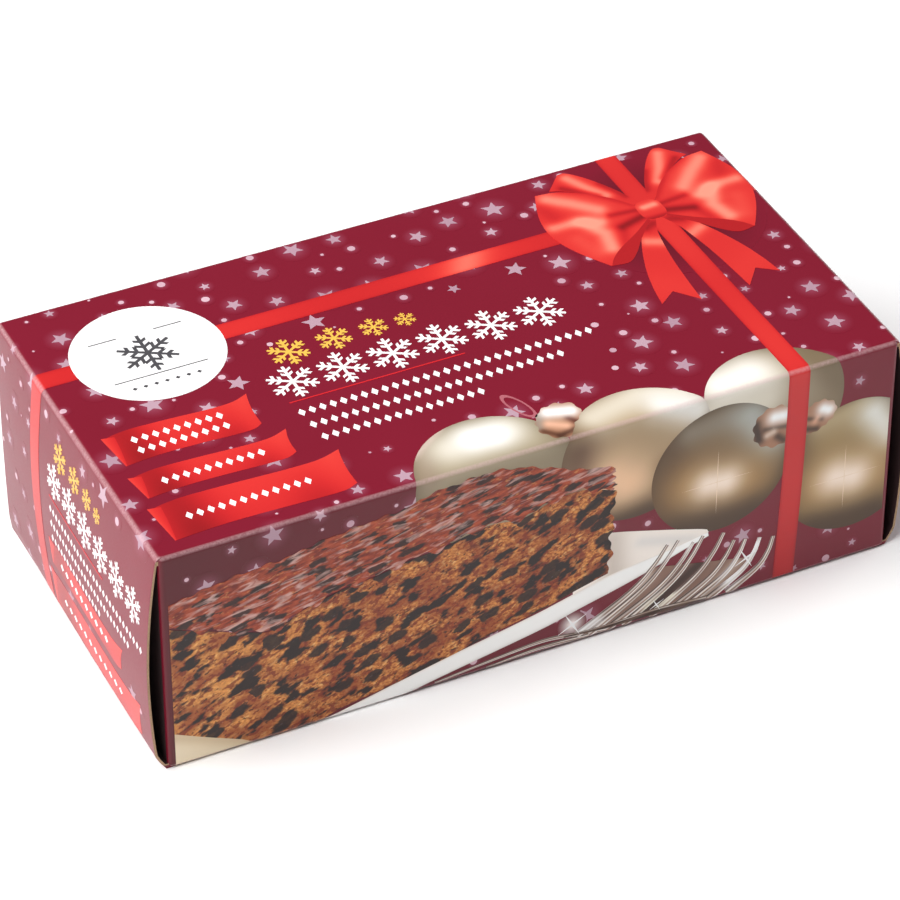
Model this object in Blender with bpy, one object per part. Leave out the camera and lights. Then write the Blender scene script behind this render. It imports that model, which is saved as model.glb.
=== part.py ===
"""A shut folding carton for a 450 g fruit cake, lying on its base.

The real pack is one blank of folding boxboard, creased, wrapped round the cake and
glued along one long edge. Each end is closed by two dust flaps, which fold in from the
front and back panels, and by an end flap, which is hinged on the top panel and tucks
in under the base. The end flaps stand a little proud and bow outwards, so a narrow dark
gap shows between their free edges and the dust flaps behind them.

The pack is shut, so it is one solid. The origin is under its middle, on the surface it
rests on: X runs along the pack, -Y is the front panel and +Z is up.
"""

import math

import bmesh
import bpy

MM = 0.001

# Driving dimensions, in metres
PANEL_LENGTH = 168 * MM  # between the creases of the two end flaps
WIDTH = 88 * MM
HEIGHT = 55 * MM
BOARD = 0.5 * MM  # calliper of the boxboard
FOLD_RADIUS = 1.3 * MM  # outside of a crease
DUST_FLAP_INSET = 0.3 * MM  # dust flaps lie this far inside the end crease
FLAP_INSET = 0.6 * MM  # the end flap is cut this much short on each side

# The end flap's bow, measured outwards from the crease
BOW_FRONT = 3.2 * MM  # at the flap's front edge
BOW_BACK = 0.6 * MM  # at its back edge
BOW_SPREAD = 3.0  # 1 fades the bow evenly from front to back, more keeps it deep for longer
BOW_DEEPEST = 0.60  # share of the height, from the top, where the bow is greatest
BOW_SKEW = 0.91  # below 1 the flap leaves the crease steeply
TUCK_HEIGHT = 4.3 * MM  # where the flap starts to turn under the base
TUCK_SHARPNESS = 1.3  # 1 is a straight slope, 2 a round one

# The gap between the end flap's free edge and the dust flap
GAP_DEPTH = 15 * MM
GAP_TOP = HEIGHT - 2.0 * MM
GAP_BOTTOM = 1.2 * MM

# How finely the curves are cut
FOLD_SEGMENTS = 4
FLAP_ROWS = 16
TUCK_ROWS = 4
FLAP_COLUMNS = 8
GAP_COLUMNS = 3

HALF_LENGTH = PANEL_LENGTH / 2
HALF_WIDTH = WIDTH / 2
EMBED = HALF_LENGTH - 3 * MM  # the end flap's solid reaches this far into the sleeve
PAST = 1 * MM  # a cutter reaches this far past what it cuts


def clear_scene():
    for obj in list(bpy.data.objects):
        bpy.data.objects.remove(obj, do_unlink=True)


def boxboard():
    """Burgundy print under a press varnish, the pack's ground colour."""
    material = bpy.data.materials.new("varnished boxboard")
    material.use_nodes = True
    shader = material.node_tree.nodes["Principled BSDF"]
    shader.inputs["Base Color"].default_value = (0.235, 0.012, 0.028, 1.0)
    shader.inputs["Roughness"].default_value = 0.38
    shader.inputs["Metallic"].default_value = 0.0
    return material


def mix(start, end, share):
    return start + (end - start) * share


def bow_share(down):
    """How far the flap stands out, from 0 to 1, at this share of the height from the top."""
    return math.sin(math.pi / 2 * (max(down, 0) / BOW_DEEPEST) ** BOW_SKEW)


def bow(y, z):
    """How far the end flap's face stands out from its crease."""
    across = min(max((y + HALF_WIDTH) / WIDTH, 0), 1)
    deepest = mix(BOW_FRONT, BOW_BACK, across**BOW_SPREAD)
    if z >= TUCK_HEIGHT:
        return deepest * bow_share(1 - z / HEIGHT)
    at_tuck = bow_share(1 - TUCK_HEIGHT / HEIGHT)
    turned = 1 - max(z, 0) / TUCK_HEIGHT
    return deepest * at_tuck * (1 - turned**TUCK_SHARPNESS)


def board_across(y, z):
    """The board's thickness measured along X, which grows where the flap slopes."""
    step = 0.2 * MM
    slope = (bow(y, min(z + step, HEIGHT)) - bow(y, z - step)) / (2 * step)
    return BOARD * math.hypot(1, slope)


def top_at(y):
    """Height of the top panel, which drops away over the long creases."""
    past_flat = abs(y) - (HALF_WIDTH - FOLD_RADIUS)
    if past_flat <= 0:
        return HEIGHT
    return HEIGHT - FOLD_RADIUS + math.sqrt(FOLD_RADIUS**2 - past_flat**2)


def flap_columns():
    """Places across the flap, closer together over the rounded long creases."""
    edge = HALF_WIDTH - FLAP_INSET
    flat = HALF_WIDTH - FOLD_RADIUS
    middle = [mix(-flat, flat, i / FLAP_COLUMNS) for i in range(FLAP_COLUMNS + 1)]
    return [-edge, -mix(flat, edge, 0.5), *middle, mix(flat, edge, 0.5), edge]


def flap_outline():
    """The flap's face from the top panel to the base, as (distance from the crease line, z)."""
    outline = []
    for i in range(FOLD_SEGMENTS + 1):
        angle = math.pi / 2 * i / FOLD_SEGMENTS
        out = FOLD_RADIUS * (math.sin(angle) - 1)
        outline.append((out, HEIGHT - FOLD_RADIUS * (1 - math.cos(angle))))
    for i in range(1, FLAP_ROWS + 1):
        outline.append((0, mix(HEIGHT - FOLD_RADIUS, TUCK_HEIGHT, i / FLAP_ROWS)))
    for i in range(1, TUCK_ROWS + 1):
        outline.append((0, mix(TUCK_HEIGHT, 0, i / TUCK_ROWS)))
    return outline


def solid_from_sheet(rows, back_x):
    """Closes a grid of points into a solid whose other face is the plane x = back_x."""
    bm = bmesh.new()
    grid = [[bm.verts.new(point) for point in row] for row in rows]
    for upper, lower in zip(grid, grid[1:]):
        for i in range(len(upper) - 1):
            bm.faces.new((upper[i], upper[i + 1], lower[i + 1], lower[i]))
    extruded = bmesh.ops.extrude_face_region(bm, geom=bm.faces[:])
    for item in extruded["geom"]:
        if isinstance(item, bmesh.types.BMVert):
            item.co.x = back_x
    bmesh.ops.recalc_face_normals(bm, faces=bm.faces[:])
    return bm


def link(bm, name):
    mesh = bpy.data.meshes.new(name)
    bm.to_mesh(mesh)
    bm.free()
    obj = bpy.data.objects.new(name, mesh)
    bpy.context.scene.collection.objects.link(obj)
    return obj


def sleeve():
    """The four wrapped panels with the dust flaps folded in: a block with round creases."""
    bm = bmesh.new()
    bmesh.ops.create_cube(bm, size=1)
    length = PANEL_LENGTH - 2 * DUST_FLAP_INSET
    for vert in bm.verts:
        vert.co.x *= length
        vert.co.y *= WIDTH
        vert.co.z = (vert.co.z + 0.5) * HEIGHT
    bmesh.ops.bevel(
        bm,
        geom=bm.edges[:],
        offset=FOLD_RADIUS,
        offset_type="OFFSET",
        segments=FOLD_SEGMENTS,
        profile=0.5,
        affect="EDGES",
    )
    return link(bm, "carton")


def end_flap(side):
    """One end flap, solid back into the sleeve until the gaps are cut. side is -1 or 1."""
    rows = []
    for out, z in flap_outline():
        row = []
        for y in flap_columns():
            x = side * (HALF_LENGTH + out + bow(y, z))
            row.append((x, y, z * top_at(y) / HEIGHT))
        rows.append(row)
    return link(solid_from_sheet(rows, side * EMBED), "end flap")


def gap(side, front):
    """The space behind one free edge of an end flap. front is -1 at the front and 1 at the back."""
    outer = front * (HALF_WIDTH + PAST)
    inner = front * (HALF_WIDTH - GAP_DEPTH)
    rows = []
    for i in range(FLAP_ROWS + 1):
        z = mix(GAP_TOP, GAP_BOTTOM, i / FLAP_ROWS)
        row = []
        for j in range(GAP_COLUMNS + 1):
            y = mix(outer, inner, j / GAP_COLUMNS)
            room = bow(y, z) - board_across(y, z)
            row.append((side * (HALF_LENGTH + room), y, z))
        rows.append(row)
    return link(solid_from_sheet(rows, side * (EMBED - PAST)), "gap")


def combine(target, other, operation):
    """Joins or cuts target by other, applies the result and removes other."""
    modifier = target.modifiers.new(operation.lower(), "BOOLEAN")
    modifier.operation = operation
    modifier.object = other
    graph = bpy.context.evaluated_depsgraph_get()
    result = bpy.data.meshes.new_from_object(target.evaluated_get(graph))
    target.modifiers.clear()
    target.data = result
    bpy.data.objects.remove(other, do_unlink=True)


def build_carton():
    carton = sleeve()
    for side in (-1, 1):
        flap = end_flap(side)
        for front in (-1, 1):
            combine(flap, gap(side, front), "DIFFERENCE")
        combine(carton, flap, "UNION")
    carton.data.materials.clear()
    carton.data.materials.append(boxboard())
    carton.data.shade_smooth()
    carton.data.set_sharp_from_angle(angle=math.radians(30))
    return carton


clear_scene()
build_carton()
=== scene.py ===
# %% [markdown]
# # A shut carton of fruit cake, printed for Christmas
#
# The object is a folding carton: one sheet of white-lined boxboard, printed, varnished,
# creased and glued. Only the outside shows, so this lesson is about two things: a box whose
# corners, bows and cut edges look like folded board, and a print that lies on it.
#
# The print could be one picture wrapped round the box. Here each motif is drawn as a thin
# shape instead, the way a printer lays one ink over another, so every edge stays sharp at
# any distance and each ink gets a material of its own.

# %% The frame that everything is fitted to
import math

import bmesh
import bpy
import numpy as np
from mathutils import Matrix, Vector


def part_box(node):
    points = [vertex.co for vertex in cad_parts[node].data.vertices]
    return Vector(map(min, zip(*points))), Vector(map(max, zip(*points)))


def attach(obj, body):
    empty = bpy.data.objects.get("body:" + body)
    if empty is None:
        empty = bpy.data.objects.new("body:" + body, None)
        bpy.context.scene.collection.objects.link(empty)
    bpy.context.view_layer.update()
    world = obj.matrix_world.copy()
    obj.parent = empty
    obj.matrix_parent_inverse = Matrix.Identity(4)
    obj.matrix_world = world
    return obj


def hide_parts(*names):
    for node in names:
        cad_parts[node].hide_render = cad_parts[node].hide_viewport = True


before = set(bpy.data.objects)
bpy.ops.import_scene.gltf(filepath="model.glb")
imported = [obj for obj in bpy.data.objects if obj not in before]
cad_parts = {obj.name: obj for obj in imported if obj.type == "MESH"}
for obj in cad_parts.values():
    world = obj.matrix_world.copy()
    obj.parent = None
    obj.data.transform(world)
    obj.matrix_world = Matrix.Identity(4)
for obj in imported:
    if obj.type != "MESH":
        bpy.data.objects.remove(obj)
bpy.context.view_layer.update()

# %% [markdown]
# ## Sizes of the carton
#
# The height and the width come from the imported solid. The rest are the sizes that a carton
# maker would write on the drawing: the crease radius, the board's calliper, and how far the
# end flaps stand out, because they are hinged on the top panel and only tuck in at the base.

# %% Sizes of the carton
MM = 0.001
carton_low, carton_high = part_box("carton")
HEIGHT = carton_high.z - carton_low.z
WIDTH = carton_high.y - carton_low.y
PANEL_LENGTH = 168 * MM
BOARD = 0.5 * MM
FOLD_RADIUS = 1.3 * MM
DUST_FLAP_INSET = 0.3 * MM
FLAP_INSET = 0.6 * MM

BOW_FRONT = 3.2 * MM
BOW_BACK = 0.6 * MM
BOW_SPREAD = 3.0
BOW_DEEPEST = 0.60
BOW_SKEW = 0.91
TUCK_HEIGHT = 4.3 * MM
TUCK_SHARPNESS = 1.3

GAP_DEPTH = 15 * MM
GAP_TOP = HEIGHT - 2.0 * MM
GAP_BOTTOM = 1.2 * MM

FOLD_SEGMENTS = 12
FLAP_ROWS = 36
TUCK_ROWS = 10
FLAP_COLUMNS = 24
GAP_COLUMNS = 8

HALF_LENGTH = PANEL_LENGTH / 2
HALF_WIDTH = WIDTH / 2
EMBED = HALF_LENGTH - 3 * MM
PAST = 1 * MM
print("panel length, width and height in mm:", PANEL_LENGTH / MM, WIDTH / MM, HEIGHT / MM)

# %% [markdown]
# ## Colours and nodes
#
# Inks are chosen on a screen, so they are written as sRGB hex values and turned to
# the linear light values that a shader needs by one function. Every material is built from
# nodes with one helper, which adds a node, sets it and fills or links its inputs.


# %% Colours and nodes
def curve_to_linear(channel):
    """The sRGB transfer curve, for one channel from 0 to 1."""
    return channel / 12.92 if channel <= 0.04045 else ((channel + 0.055) / 1.055) ** 2.4


def screen(ink):
    """An sRGB hex value such as "8a1a2e" as three numbers from 0 to 1."""
    return np.array([int(ink[i : i + 2], 16) / 255 for i in (0, 2, 4)])


def linear(ink):
    """A linear colour with alpha from an sRGB hex value."""
    return (*(curve_to_linear(channel) for channel in screen(ink)), 1.0)


def add(tree, kind, inputs=None, **settings):
    """Adds a node, sets its properties, and sets or links its inputs by name or number."""
    made = tree.nodes.new(kind)
    for key, value in settings.items():
        setattr(made, key, value)
    for key, value in (inputs or {}).items():
        if isinstance(value, bpy.types.NodeSocket):
            tree.links.new(value, made.inputs[key])
        else:
            made.inputs[key].default_value = value
    return made


def new_material(name):
    """An empty node material and its tree."""
    material = bpy.data.materials.new(name)
    material.use_nodes = True
    material.node_tree.nodes.clear()
    return material, material.node_tree


def give_surface(tree, inputs):
    """Finishes a material with one surface, from these inputs."""
    surface = add(tree, "ShaderNodeBsdfPrincipled", inputs)
    add(tree, "ShaderNodeOutputMaterial", {"Surface": surface.outputs[0]})


# %% Steps that the materials share
def noise(tree, size, detail=2):
    """A noise that lies still on the board, with grains of this size."""
    place = add(tree, "ShaderNodeTexCoord").outputs["Object"]
    inputs = {"Vector": place, "Scale": 1 / size, "Detail": detail}
    return add(tree, "ShaderNodeTexNoise", inputs).outputs[0]


def carried(tree, name):
    """The number of this name that each vertex of a piece carries."""
    return add(tree, "ShaderNodeAttribute", attribute_name=name).outputs["Fac"]


def maths(tree, operation, one, two=0):
    """One step of arithmetic."""
    return add(tree, "ShaderNodeMath", {0: one, 1: two}, operation=operation).outputs[0]


def vector_maths(tree, operation, one, two=(0, 0, 0)):
    """One step of arithmetic on two vectors."""
    return add(tree, "ShaderNodeVectorMath", {0: one, 1: two}, operation=operation).outputs


def spread(tree, value, low, high, start=0, end=1, **settings):
    """Moves a number from between low and high to between start and end, and holds it there."""
    inputs = {"Value": value, 1: low, 2: high, 3: start, 4: end}
    return add(tree, "ShaderNodeMapRange", inputs, **settings).outputs[0]


def mixed(tree, share, low, high):
    """Two inks, each a hex value or a socket, mixed by a share from 0 to 1."""
    low, high = (linear(ink) if isinstance(ink, str) else ink for ink in (low, high))
    return add(tree, "ShaderNodeMix", {0: share, 6: low, 7: high}, data_type="RGBA").outputs[2]


# %% [markdown]
# ## The varnish over every ink
#
# The sheet is sealed with a satin press varnish, an acrylic film that bends light a little
# less than glass does. It gives the board its soft sheen: a broad pale reflection at a
# shallow angle, slightly broken by the fibres below. Each ink is its own material, but they
# share this surface, so the fibre relief and the roughness are built once, as a function.
# Along the creases the ink is made paler, broken by the fibres: a painted highlight for
# the light that the rounded folds catch.

# %% The varnish over every ink
VARNISH_ROUGHNESS = 0.34
VARNISH_IOR = 1.42
FIBRE_SIZE = 0.45 * MM
FIBRE_HEIGHT = 0.01 * MM
COCKLE_SIZE = 28 * MM
COCKLE_HEIGHT = 1.0 * MM
# The pale crease ink below is a painted highlight, for the light on the rounded folds.
CREASE_HIGHLIGHT = "e2bdc0"
CREASE_HIGHLIGHT_MOST = 0.36
CREASE_HIGHLIGHT_TURN = (0.27, 0.49)
CREASE_HIGHLIGHT_FIBRE = (0.3, 0.6)


def paint_crease_highlight(tree, ink, fibre):
    """Paints a pale highlight where the surface turns from one panel to the next, broken by fibres.
    """
    turned = add(tree, "ShaderNodeTexCoord").outputs["Normal"]
    upward = maths(tree, "ABSOLUTE", add(tree, "ShaderNodeSeparateXYZ", {0: turned}).outputs[2])
    level = vector_maths(tree, "MULTIPLY", turned, (1, 1, 0))[0]
    turn = maths(tree, "MULTIPLY", vector_maths(tree, "LENGTH", level)["Value"], upward)
    band = spread(tree, turn, *CREASE_HIGHLIGHT_TURN, 0, CREASE_HIGHLIGHT_MOST)
    share = maths(tree, "MULTIPLY", band, spread(tree, fibre, *CREASE_HIGHLIGHT_FIBRE, 0.5, 1))
    return mixed(tree, share, ink, CREASE_HIGHLIGHT)


def varnish(tree, ink):
    """Finishes a material: satin varnish and board fibre relief over this ink, with a painted
    crease highlight.
    """
    fibre, cockle = noise(tree, FIBRE_SIZE, 3), noise(tree, COCKLE_SIZE, 1)
    wave = {"Height": cockle, "Distance": COCKLE_HEIGHT, "Strength": 0.5}
    wave = add(tree, "ShaderNodeBump", wave).outputs[0]
    relief = {"Height": fibre, "Distance": FIBRE_HEIGHT, "Strength": 0.6, "Normal": wave}
    rough = spread(tree, fibre, 0, 1, VARNISH_ROUGHNESS - 0.05, VARNISH_ROUGHNESS + 0.05)
    surface = {
        "Base Color": paint_crease_highlight(tree, ink, fibre),
        "Roughness": rough,
        "IOR": VARNISH_IOR,
        "Normal": add(tree, "ShaderNodeBump", relief).outputs[0],
    }
    give_surface(tree, surface)


# %% [markdown]
# ## The ground ink
#
# Burgundy fills the whole sheet. A solid like this is never quite even: the ink film is a
# little thinner in places, which shows as a slow drift of tone. The front panel is darkened
# towards its left with painted shade, for the weaker light that falls there. The node group
# is shared, because the soft shadows and glows further on have to end in exactly this colour.
# The inks of the motifs are made the same way, by three functions: one ink drifts between
# two tones, one has a tone of its own for each strewn shape, and one fades into the ground.

# %% The ground ink
GROUND = "790f25"
GROUND_THIN = "80152d"
GROUND_SHADED = "560a18"
MOTTLE_SIZE = 35 * MM


def ground_ink():
    """A node group that gives the burgundy at a place on the board, with painted shade on the
    front.
    """
    group = bpy.data.node_groups.new("ground ink", "ShaderNodeTree")
    group.interface.new_socket("Color", in_out="OUTPUT", socket_type="NodeSocketColor")
    ink = mixed(group, noise(group, MOTTLE_SIZE), GROUND, GROUND_THIN)
    place = add(group, "ShaderNodeTexCoord").outputs["Object"]
    part = add(group, "ShaderNodeSeparateXYZ", {0: place}).outputs
    # Painted shade: the front panel is made darker, most towards its left end.
    front = (1 * MM - HALF_WIDTH, -HALF_WIDTH)
    front = spread(group, part[1], *front, interpolation_type="SMOOTHSTEP")
    leftward = spread(group, part[0], HALF_LENGTH / 2, -HALF_LENGTH, 0.15, 1)
    shade = maths(group, "MULTIPLY", front, leftward)
    add(group, "NodeGroupOutput", {"Color": mixed(group, shade, ink, GROUND_SHADED)})
    return group


GROUND_INK = ground_ink()


def ground(tree):
    """The burgundy, for use in a material."""
    return add(tree, "ShaderNodeGroup", node_tree=GROUND_INK).outputs[0]


def drifting_ink(name, low, high, size):
    """A plain ink that drifts a little between two tones, in clouds of this size."""
    material, tree = new_material(name)
    varnish(tree, mixed(tree, noise(tree, size), low, high))
    return material


def strewn_ink(name, low, high):
    """An ink that has a tone of its own for each of many strewn shapes."""
    material, tree = new_material(name)
    varnish(tree, mixed(tree, carried(tree, "tone"), low, high))
    return material


def fading_ink(name, ink, falloff=1, most=1):
    """An ink that fades into the ground with the glow that its vertices carry."""
    material, tree = new_material(name)
    share = maths(tree, "POWER", carried(tree, "glow"), falloff)
    varnish(tree, mixed(tree, maths(tree, "MULTIPLY", share, most), ground(tree), ink))
    return material


board_print, tree = new_material("burgundy offset ink under satin varnish")
varnish(tree, ground(tree))

# %% [markdown]
# ## The raw board
#
# Where the sheet was cut, its middle shows: recycled grey-brown pulp, matt, with fibres
# along the edge. The faces behind the end flaps lie in narrow gaps that the light hardly
# reaches, and their dark red-brown is painted shade, not the board's own colour.

# %% The raw board
PULP_FIBRE = 0.25 * MM
PULP_HEIGHT = 0.05 * MM
MATT = 0.9

raw_board, tree = new_material("die-cut edge of recycled boxboard")
pulp = noise(tree, PULP_FIBRE, 4)
tone = mixed(tree, pulp, "8d6d52", "c9a888")
relief = add(tree, "ShaderNodeBump", {"Height": pulp, "Distance": PULP_HEIGHT}).outputs[0]
give_surface(tree, {"Base Color": tone, "Roughness": MATT, "Normal": relief})

# Painted shade: the faces behind the end flaps get a near-black red-brown for the dark gaps.
inner_board_painted_dark, tree = new_material("inner side of the board, painted dark as shade")
tone = mixed(tree, noise(tree, PULP_FIBRE), "2a1214", "3a1c1e")
give_surface(tree, {"Base Color": tone, "Roughness": MATT})

# %% [markdown]
# ## The folded board
#
# The four long panels make a sleeve with rounded creases, closed at each end by dust flaps.
# Over them comes the end flap, hinged on the top panel. It springs outwards, most at its
# front edge, and turns in at the base, so a dark gap opens behind each free edge. The shape
# follows a rule, so it is computed: a grid of points on the flap's face is closed into a
# solid, the gaps are cut out of it, and the flaps are joined to the sleeve.


# %% How far the flap bows
def mix(start, end, share):
    """A value this share of the way from start to end."""
    return start + (end - start) * share


def bow_share(down):
    """How far the flap stands out, from 0 to 1, at this share of the height from the top."""
    return math.sin(math.pi / 2 * (max(down, 0) / BOW_DEEPEST) ** BOW_SKEW)


def bow(y, z):
    """How far the end flap's face stands out from its crease."""
    across = min(max((y + HALF_WIDTH) / WIDTH, 0), 1)
    deepest = mix(BOW_FRONT, BOW_BACK, across**BOW_SPREAD)
    if z >= TUCK_HEIGHT:
        return deepest * bow_share(1 - z / HEIGHT)
    at_tuck = bow_share(1 - TUCK_HEIGHT / HEIGHT)
    turned = 1 - max(z, 0) / TUCK_HEIGHT
    return deepest * at_tuck * (1 - turned**TUCK_SHARPNESS)


def board_across(y, z):
    """The board's thickness measured along X, which grows where the flap slopes."""
    step = 0.2 * MM
    slope = (bow(y, min(z + step, HEIGHT)) - bow(y, z - step)) / (2 * step)
    return BOARD * math.hypot(1, slope)


def top_at(y):
    """Height of the top panel, which drops away over the long creases."""
    past_flat = abs(y) - (HALF_WIDTH - FOLD_RADIUS)
    if past_flat <= 0:
        return HEIGHT
    return HEIGHT - FOLD_RADIUS + math.sqrt(FOLD_RADIUS**2 - past_flat**2)


# %% The solids of the board
def flap_columns():
    """Places across the flap, closer together over the rounded long creases."""
    edge = HALF_WIDTH - FLAP_INSET
    flat = HALF_WIDTH - FOLD_RADIUS
    middle = [mix(-flat, flat, i / FLAP_COLUMNS) for i in range(FLAP_COLUMNS + 1)]
    shoulder = [mix(flat, edge, share) for share in (0.35, 0.7, 1)]
    return [*(-y for y in reversed(shoulder)), *middle, *shoulder]


def flap_outline():
    """The flap's face from the top panel to the base, as (distance from the crease line, z)."""
    outline = []
    for i in range(FOLD_SEGMENTS + 1):
        angle = math.pi / 2 * i / FOLD_SEGMENTS
        out = FOLD_RADIUS * (math.sin(angle) - 1)
        outline.append((out, HEIGHT - FOLD_RADIUS * (1 - math.cos(angle))))
    for i in range(1, FLAP_ROWS + 1):
        outline.append((0, mix(HEIGHT - FOLD_RADIUS, TUCK_HEIGHT, i / FLAP_ROWS)))
    for i in range(1, TUCK_ROWS + 1):
        outline.append((0, mix(TUCK_HEIGHT, 0, i / TUCK_ROWS)))
    return outline


def in_scene(name, data):
    """Puts a mesh, a lamp or a camera in the scene, as an object."""
    placed = bpy.data.objects.new(name, data)
    bpy.context.scene.collection.objects.link(placed)
    return placed


def link(bm, name):
    """Turns a bmesh into an object in the scene."""
    mesh = bpy.data.meshes.new(name)
    bm.to_mesh(mesh)
    bm.free()
    return in_scene(name, mesh)


def evaluated(piece):
    """The mesh of a piece once its modifiers have run."""
    graph = bpy.context.evaluated_depsgraph_get()
    return bpy.data.meshes.new_from_object(piece.evaluated_get(graph))


def grid_faces(flat, grid):
    """Fills a grid of vertices with faces."""
    for upper, lower in zip(grid, grid[1:]):
        for i in range(len(upper) - 1):
            flat.faces.new((upper[i], upper[i + 1], lower[i + 1], lower[i]))


def extruded(flat):
    """Extrudes all faces of a sheet in place, and gives the new vertices."""
    made = bmesh.ops.extrude_face_region(flat, geom=flat.faces[:])["geom"]
    return [item for item in made if isinstance(item, bmesh.types.BMVert)]


def solid_from_sheet(rows, back_x):
    """Closes a grid of points into a solid whose other face is the plane x = back_x."""
    bm = bmesh.new()
    grid_faces(bm, [[bm.verts.new(point) for point in row] for row in rows])
    for vert in extruded(bm):
        vert.co.x = back_x
    bmesh.ops.recalc_face_normals(bm, faces=bm.faces[:])
    return bm


def sleeve():
    """The four long panels with the dust flaps folded in, as a block with round creases."""
    bm = bmesh.new()
    bmesh.ops.create_cube(bm, size=1)
    for vert in bm.verts:
        vert.co.x *= PANEL_LENGTH - 2 * DUST_FLAP_INSET
        vert.co.y *= WIDTH
        vert.co.z = (vert.co.z + 0.5) * HEIGHT
    bmesh.ops.bevel(
        bm,
        geom=bm.edges[:],
        offset=FOLD_RADIUS,
        offset_type="OFFSET",
        segments=FOLD_SEGMENTS,
        profile=0.5,
        affect="EDGES",
    )
    return link(bm, "carton_board")


def end_flap(side):
    """One end flap, solid back into the sleeve until the gaps are cut. side is -1 or 1."""
    rows = []
    for out, z in flap_outline():
        outwards = [(HALF_LENGTH + out + bow(y, z), y) for y in flap_columns()]
        rows.append([(side * x, y, z * top_at(y) / HEIGHT) for x, y in outwards])
    return link(solid_from_sheet(rows, side * EMBED), "end flap")


def gap(side, front):
    """The space behind one free edge of an end flap. front is -1 at the front, 1 at the back."""
    outer = front * (HALF_WIDTH + PAST)
    inner = front * (HALF_WIDTH - GAP_DEPTH)
    rows = []
    for i in range(FLAP_ROWS + 1):
        z = mix(GAP_TOP, GAP_BOTTOM, i / FLAP_ROWS)
        across = [mix(outer, inner, j / GAP_COLUMNS) for j in range(GAP_COLUMNS + 1)]
        room = [bow(y, z) - board_across(y, z) for y in across]
        rows.append([(side * (HALF_LENGTH + x), y, z) for x, y in zip(room, across)])
    return link(solid_from_sheet(rows, side * (EMBED - PAST)), "gap")


def combine(target, other, operation):
    """Joins or cuts target by other, applies the result and removes other."""
    modifier = target.modifiers.new(operation.lower(), "BOOLEAN")
    modifier.operation = operation
    modifier.object = other
    result = evaluated(target)
    target.modifiers.clear()
    target.data = result
    bpy.data.objects.remove(other, do_unlink=True)


# %% Fold the board
PRINTED_SIDE, CUT_EDGE, INNER_SIDE = 0, 1, 2
NEAR = 0.02 * MM
SIDEWAYS = 0.7


def side_of_board(centre, normal):
    """Which material a face of the board shows: print, the raw cut edge or the inner side."""
    if abs(centre.x) < HALF_LENGTH - DUST_FLAP_INSET - NEAR:
        return PRINTED_SIDE
    on_cut_edge = abs(abs(centre.y) - (HALF_WIDTH - FLAP_INSET)) < NEAR
    if on_cut_edge and abs(normal.y) > SIDEWAYS:
        return CUT_EDGE
    face_x = HALF_LENGTH + bow(centre.y, centre.z)
    behind = centre.z < GAP_TOP and abs(centre.x) < face_x - BOARD / 2
    return INNER_SIDE if behind else PRINTED_SIDE


board = sleeve()
for side in (-1, 1):
    flap = end_flap(side)
    for front in (-1, 1):
        combine(flap, gap(side, front), "DIFFERENCE")
    combine(board, flap, "UNION")
board.data.materials.clear()
for material in (board_print, raw_board, inner_board_painted_dark):
    board.data.materials.append(material)
for face in board.data.polygons:
    face.material_index = side_of_board(face.center, face.normal)
board.data.shade_smooth()
board.data.set_sharp_from_angle(angle=math.radians(30))
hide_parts("carton")
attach(board, "root")
print("board:", len(board.data.polygons), "faces")

# %% [markdown]
# ## The dieline
#
# A carton is drawn flat, on a dieline, and so is this print. u runs along the pack from its
# middle, v runs from the top panel's front crease towards the back: the top panel is v from
# 0 to 88 mm, the front panel below it is v from -55 to 0, and the end flaps follow at both
# ends, past u = 84 mm. One function then folds a point of the drawing onto the board. It
# follows the round creases by arc length and the flap's bow, so a motif that crosses a
# crease bends with the board as ink does.

# %% The dieline
HALF = HALF_LENGTH / MM
TOP = WIDTH / MM
SIDE = HEIGHT / MM
RADIUS = FOLD_RADIUS / MM
HALF_ARC = RADIUS * math.pi / 4


def round_the_creases(t, length):
    """A place t along one panel, as its distance along the straight side and its drop."""
    flat = length - 2 * RADIUS
    s = t * (flat + 2 * HALF_ARC) / length - HALF_ARC
    on_flat = min(max(s, 0), flat)
    turn = (s - on_flat) / RADIUS
    return RADIUS + on_flat + RADIUS * math.sin(turn), RADIUS * (1 - math.cos(turn))


def on_sleeve(u, v):
    """A dieline place on one of the four long panels, folded, in millimetres."""
    x = u * (HALF - RADIUS) / (HALF - HALF_ARC)
    if v < 0:
        along, drop = round_the_creases(v + SIDE, SIDE)
        return Vector((x, drop - TOP / 2, along))
    if v <= TOP:
        along, drop = round_the_creases(v, TOP)
        return Vector((x, along - TOP / 2, SIDE - drop))
    along, drop = round_the_creases(v - TOP, SIDE)
    return Vector((x, TOP / 2 - drop, SIDE - along))


def on_flap(u, v):
    """A dieline place on an end flap, or on the crease it hangs from, in millimetres."""
    side = math.copysign(1, u)
    along, drop = round_the_creases(v, TOP)
    y = along - TOP / 2
    s = abs(u) - HALF + HALF_ARC
    if s < 2 * HALF_ARC:
        angle = s / RADIUS
        out, z = RADIUS * (math.sin(angle) - 1), SIDE - RADIUS * (1 - math.cos(angle))
    else:
        out, z = 0, SIDE - RADIUS - (s - 2 * HALF_ARC)
    x = HALF + out + bow(y * MM, z * MM) / MM
    return Vector((side * x, y, z * (SIDE - drop) / SIDE))


def folded(u, v):
    """A dieline place on the folded carton, in millimetres."""
    return on_flap(u, v) if abs(u) > HALF - HALF_ARC else on_sleeve(u, v)


def wrap(u, v, lift):
    """A dieline place folded onto the board and lifted off it, in metres."""
    step = 0.02
    along = folded(u + step, v) - folded(u - step, v)
    across = folded(u, v + step) - folded(u, v - step)
    return (folded(u, v) + along.cross(across).normalized() * lift) * MM


# %% [markdown]
# ## Laying down a motif
#
# Ink has no thickness that an eye can see, but a mesh needs some: two faces at the same
# place would flicker. Each motif is a slab that stands a tenth of a millimetre proud, or
# less, and reaches a little way into the board. Motifs printed later lie higher, level by
# level down this list, so a bow covers a ribbon just as it does on the press.

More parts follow.
